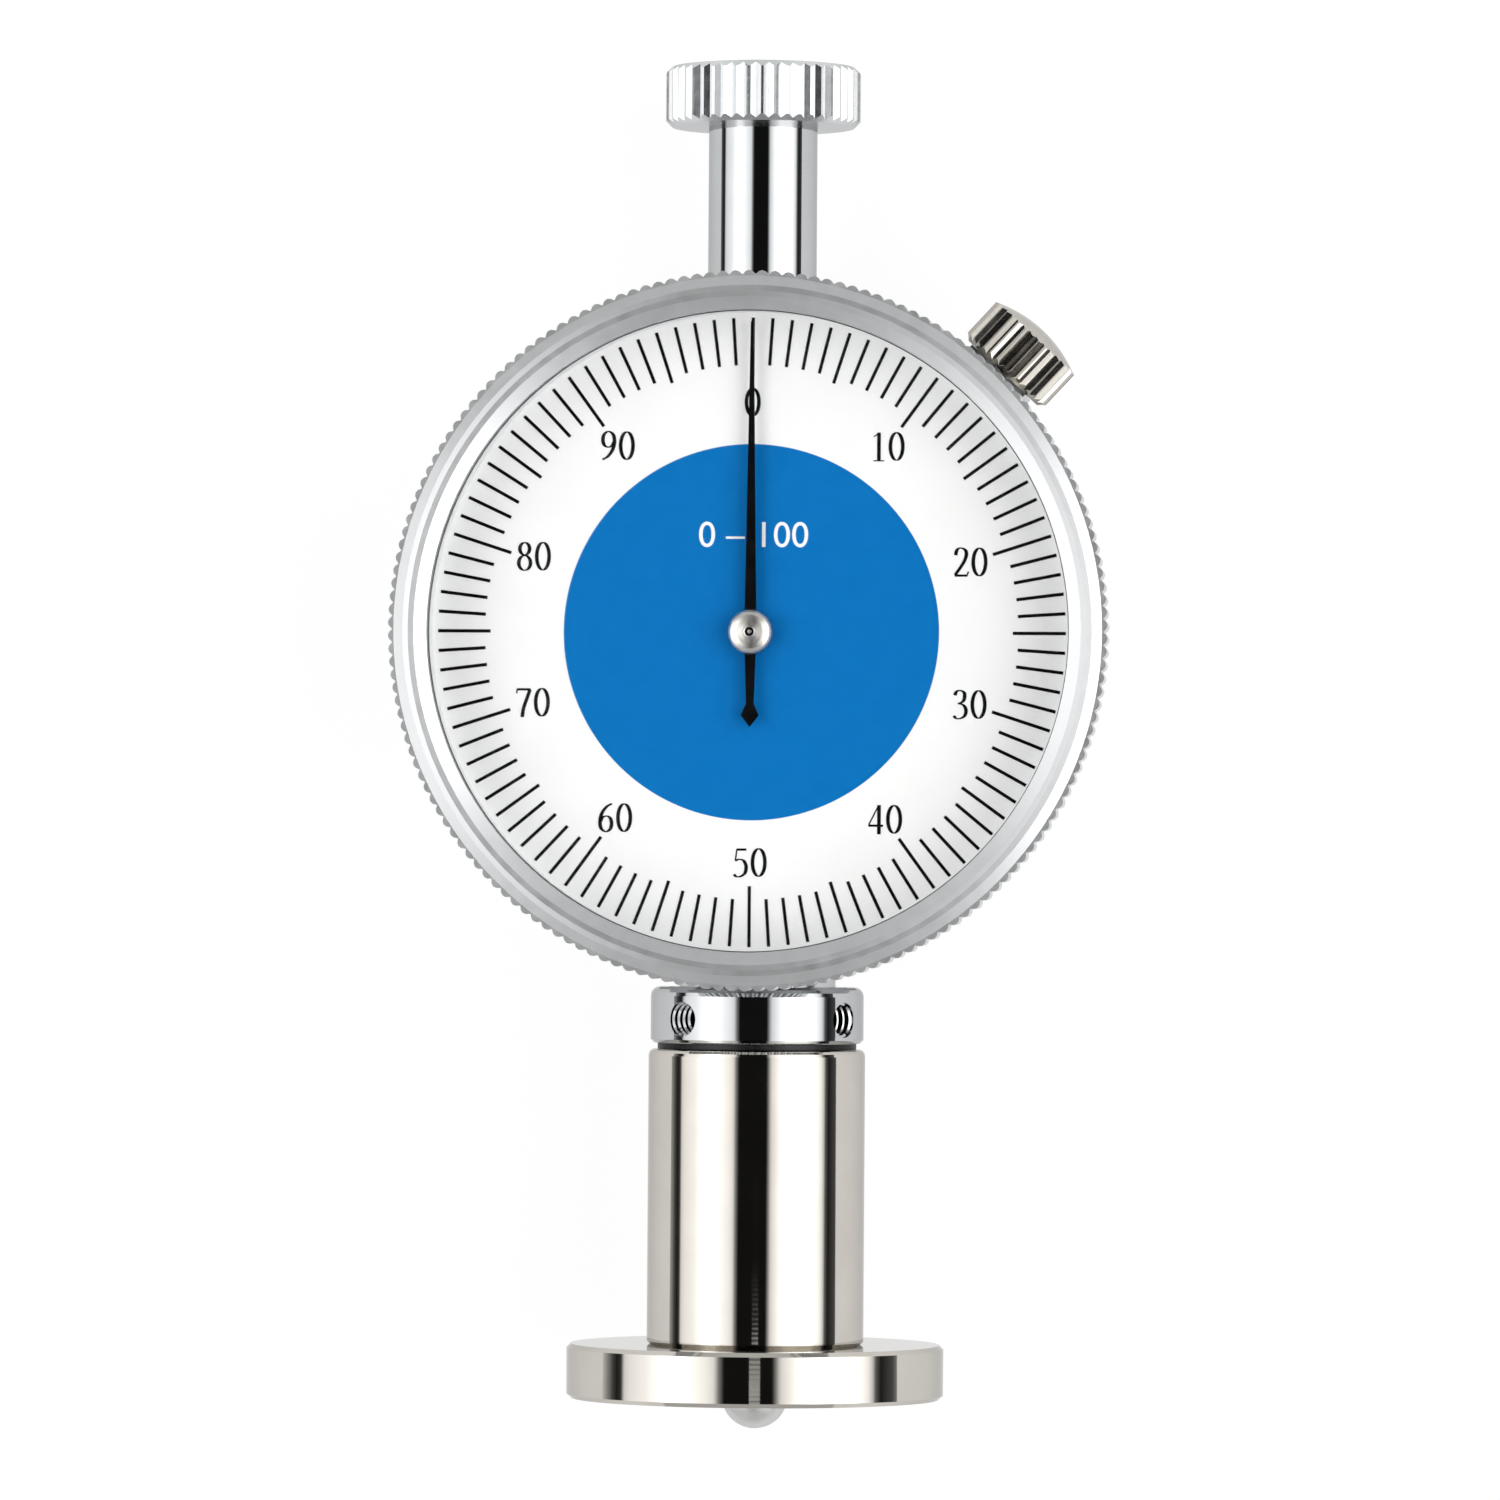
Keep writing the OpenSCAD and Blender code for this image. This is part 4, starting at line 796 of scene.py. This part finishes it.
bm = bmesh.new()
bmesh.ops.create_circle(bm, cap_ends=True, segments=CARD_STEPS, radius=CARD_RADIUS)
thicken(bm, -CARD_THICKNESS)
bmesh.ops.recalc_face_normals(bm, faces=bm.faces)
stage_card("white_card", bm, card_look, camera_sees=True)

# %% [markdown]
# The world around the card is white to the camera and in reflections, and a soft fill for everything else.
# A backdrop could be white too, but it would have to stand behind the gauge in every view.

# %% World
WORLD_FILL = 0.55
world = bpy.data.worlds.new("white_room")
bpy.context.scene.world = world
world.use_nodes = True
tree = world.node_tree
tree.nodes.clear()
white = add_node(
    tree, "ShaderNodeMapRange", {"To Min": WORLD_FILL, "To Max": 1.0}, {"Value": seen_directly(tree)}
)
sky = add_node(
    tree, "ShaderNodeBackground", {"Color": linear("#FFFFFF")}, {"Strength": white.outputs["Result"]}
)
add_node(tree, "ShaderNodeOutputWorld", {}, {"Surface": sky.outputs["Background"]})
print("world fill", WORLD_FILL)

# %% [markdown]
# ## Light tent
# Polished cylinders show the studio as stripes: a softbox on each side, a dark gap in the middle where the
# camera stands, and dark edges beyond the softboxes. Area lamps could stand in for the softboxes, but they
# end in hard edges. A product photographer hangs a white tent over the work, lights its sides from outside
# and leaves black cloth between them, and so do these cells. The tent is an arc around the gauge's length.
# Its glow is a list of angles, measured from straight up to the right, and brightness there, so that the
# softboxes fade at their edges as cloth does. Along the gauge the softboxes reach a little over half a metre
# each way, and the cloth beyond them is dimmer.

# %% Bands of the tent
TENT_RADIUS = 1.1
TENT_LENGTH = 2.2
TENT_STEPS = 86
TENT_GLOW = 3.2
TENT_BANDS = [
    (-107, 0.32), (-100, 0.25), (-96, 0.13), (-91, 0.03), (-87, 0.005), (-83, 0.02), (-80.5, 0.35),
    (-76, 0.43), (-64, 0.51), (-57, 0.62), (-50, 1.0), (-41, 1.0), (-33, 0.6), (-24, 0.49), (-20, 0.4),
    (-17, 0.1), (-14, 0.003), (15, 0.003), (17, 0.1), (20, 0.37), (25, 0.5), (32, 0.68), (40, 1.0),
    (65, 0.96), (71, 0.62), (76.5, 0.47), (79.5, 0.3), (82, 0.05), (86, 0.005), (96, 0.03), (102, 0.13),
    (108, 0.34)
]
SOFTBOX_REACH = (0.56, 0.70)
TENT_END_SHARE = 0.26
TENT_START, TENT_END = (math.radians(TENT_BANDS[i][0]) for i in (0, -1))
print(len(TENT_BANDS), "bands over", round(math.degrees(TENT_END - TENT_START)), "degrees")

# %% Tent's cloth
tent_look, tree = new_tree("lit_tent_cloth")
place = add_node(tree, "ShaderNodeTexCoord")
along = add_node(tree, "ShaderNodeSeparateXYZ", {}, {"Vector": place.outputs["Object"]})
angle = add_node(
    tree, "ShaderNodeMath", {"operation": "ARCTAN2"}, {0: along.outputs["X"], 1: along.outputs["Z"]}
)
reach = add_node(
    tree, "ShaderNodeMapRange", {"From Min": TENT_START, "From Max": TENT_END},
    {"Value": angle.outputs["Value"]},
)
bands = add_node(tree, "ShaderNodeValToRGB", {}, {"Fac": reach.outputs["Result"]})
stops = bands.color_ramp.elements
for index, (degrees, glow) in enumerate(TENT_BANDS):
    position = (math.radians(degrees) - TENT_START) / (TENT_END - TENT_START)
    # A new ramp already has two stops
    stop = stops[index] if index < 2 else stops.new(position)
    stop.position = position
    stop.color = (glow, glow, glow, 1.0)
far = add_node(tree, "ShaderNodeMath", {"operation": "ABSOLUTE"}, {0: along.outputs["Y"]})
softbox = add_node(
    tree, "ShaderNodeMapRange",
    {"From Min": SOFTBOX_REACH[0], "From Max": SOFTBOX_REACH[1], "To Min": TENT_GLOW,
     "To Max": TENT_GLOW * TENT_END_SHARE},
    {"Value": far.outputs["Value"]},
)
tent_light = add_node(
    tree, "ShaderNodeEmission", {}, {"Color": bands.outputs["Color"], "Strength": softbox.outputs["Result"]}
)
add_node(tree, "ShaderNodeOutputMaterial", {}, {"Surface": tent_light.outputs["Emission"]})
print(len(stops), "stops in the cloth's ramp")

# %% Tent
bm = bmesh.new()
first = Vector((math.sin(TENT_START), 0, math.cos(TENT_START))) * TENT_RADIUS
ends = [bm.verts.new(first + Vector((0, side * TENT_LENGTH / 2, 0))) for side in (-1, 1)]
bm.edges.new(ends)
bmesh.ops.spin(
    bm, geom=bm.verts[:] + bm.edges[:], cent=(0, 0, 0), axis=UPWARD, angle=TENT_END - TENT_START,
    steps=TENT_STEPS, use_merge=False, use_duplicate=False
)
stage_card("light_tent", bm, tent_look)

# %% [markdown]
# One small pale card hangs in the dark gap, low enough that only the foot's rim shows it, as a thin grey
# stripe.

# %% Catch card
CATCH_MIDDLE = (82.0, -117.5, 1050.0)
CATCH_SIZE = (120.0, 12.5)
CATCH_GLOW = 0.6
catch_look, tree = new_tree("pale_catch_card")
catch_light = add_node(tree, "ShaderNodeEmission", {"Strength": CATCH_GLOW})
add_node(tree, "ShaderNodeOutputMaterial", {}, {"Surface": catch_light.outputs["Emission"]})
bm = bmesh.new()
bmesh.ops.create_grid(
    bm, x_segments=1, y_segments=1, size=0.5,
    matrix=DIAL_MM @ Matrix.Translation(CATCH_MIDDLE) @ Matrix.Diagonal((*CATCH_SIZE, 1, 1))
)
stage_card("catch_card", bm, catch_look)

# %% [markdown]
# The ends of the studio are grey, so that the bezel's upper and lower edges turn darker than its sides.

# %% Grey ends
END_GLOW = {"cap": 0.68, "foot": 0.6}
END_WIDTH, END_HEIGHT, END_MIDDLE = 2.4, 1.3, 0.45
for name, sign in (("cap", 1), ("foot", -1)):
    end_look, tree = new_tree(f"grey_end_{name}")
    grey = add_node(tree, "ShaderNodeEmission", {"Strength": END_GLOW[name]})
    add_node(tree, "ShaderNodeOutputMaterial", {}, {"Surface": grey.outputs["Emission"]})
    bm = bmesh.new()
    bmesh.ops.create_grid(
        bm, x_segments=1, y_segments=1, size=0.5,
        matrix=Matrix.Translation((0, sign * TENT_LENGTH / 2, END_MIDDLE))
        @ Matrix.Rotation(math.pi / 2, 4, "X") @ Matrix.Diagonal((END_WIDTH, END_HEIGHT, 1, 1))
    )
    stage_card(f"end_{name}", bm, end_look)
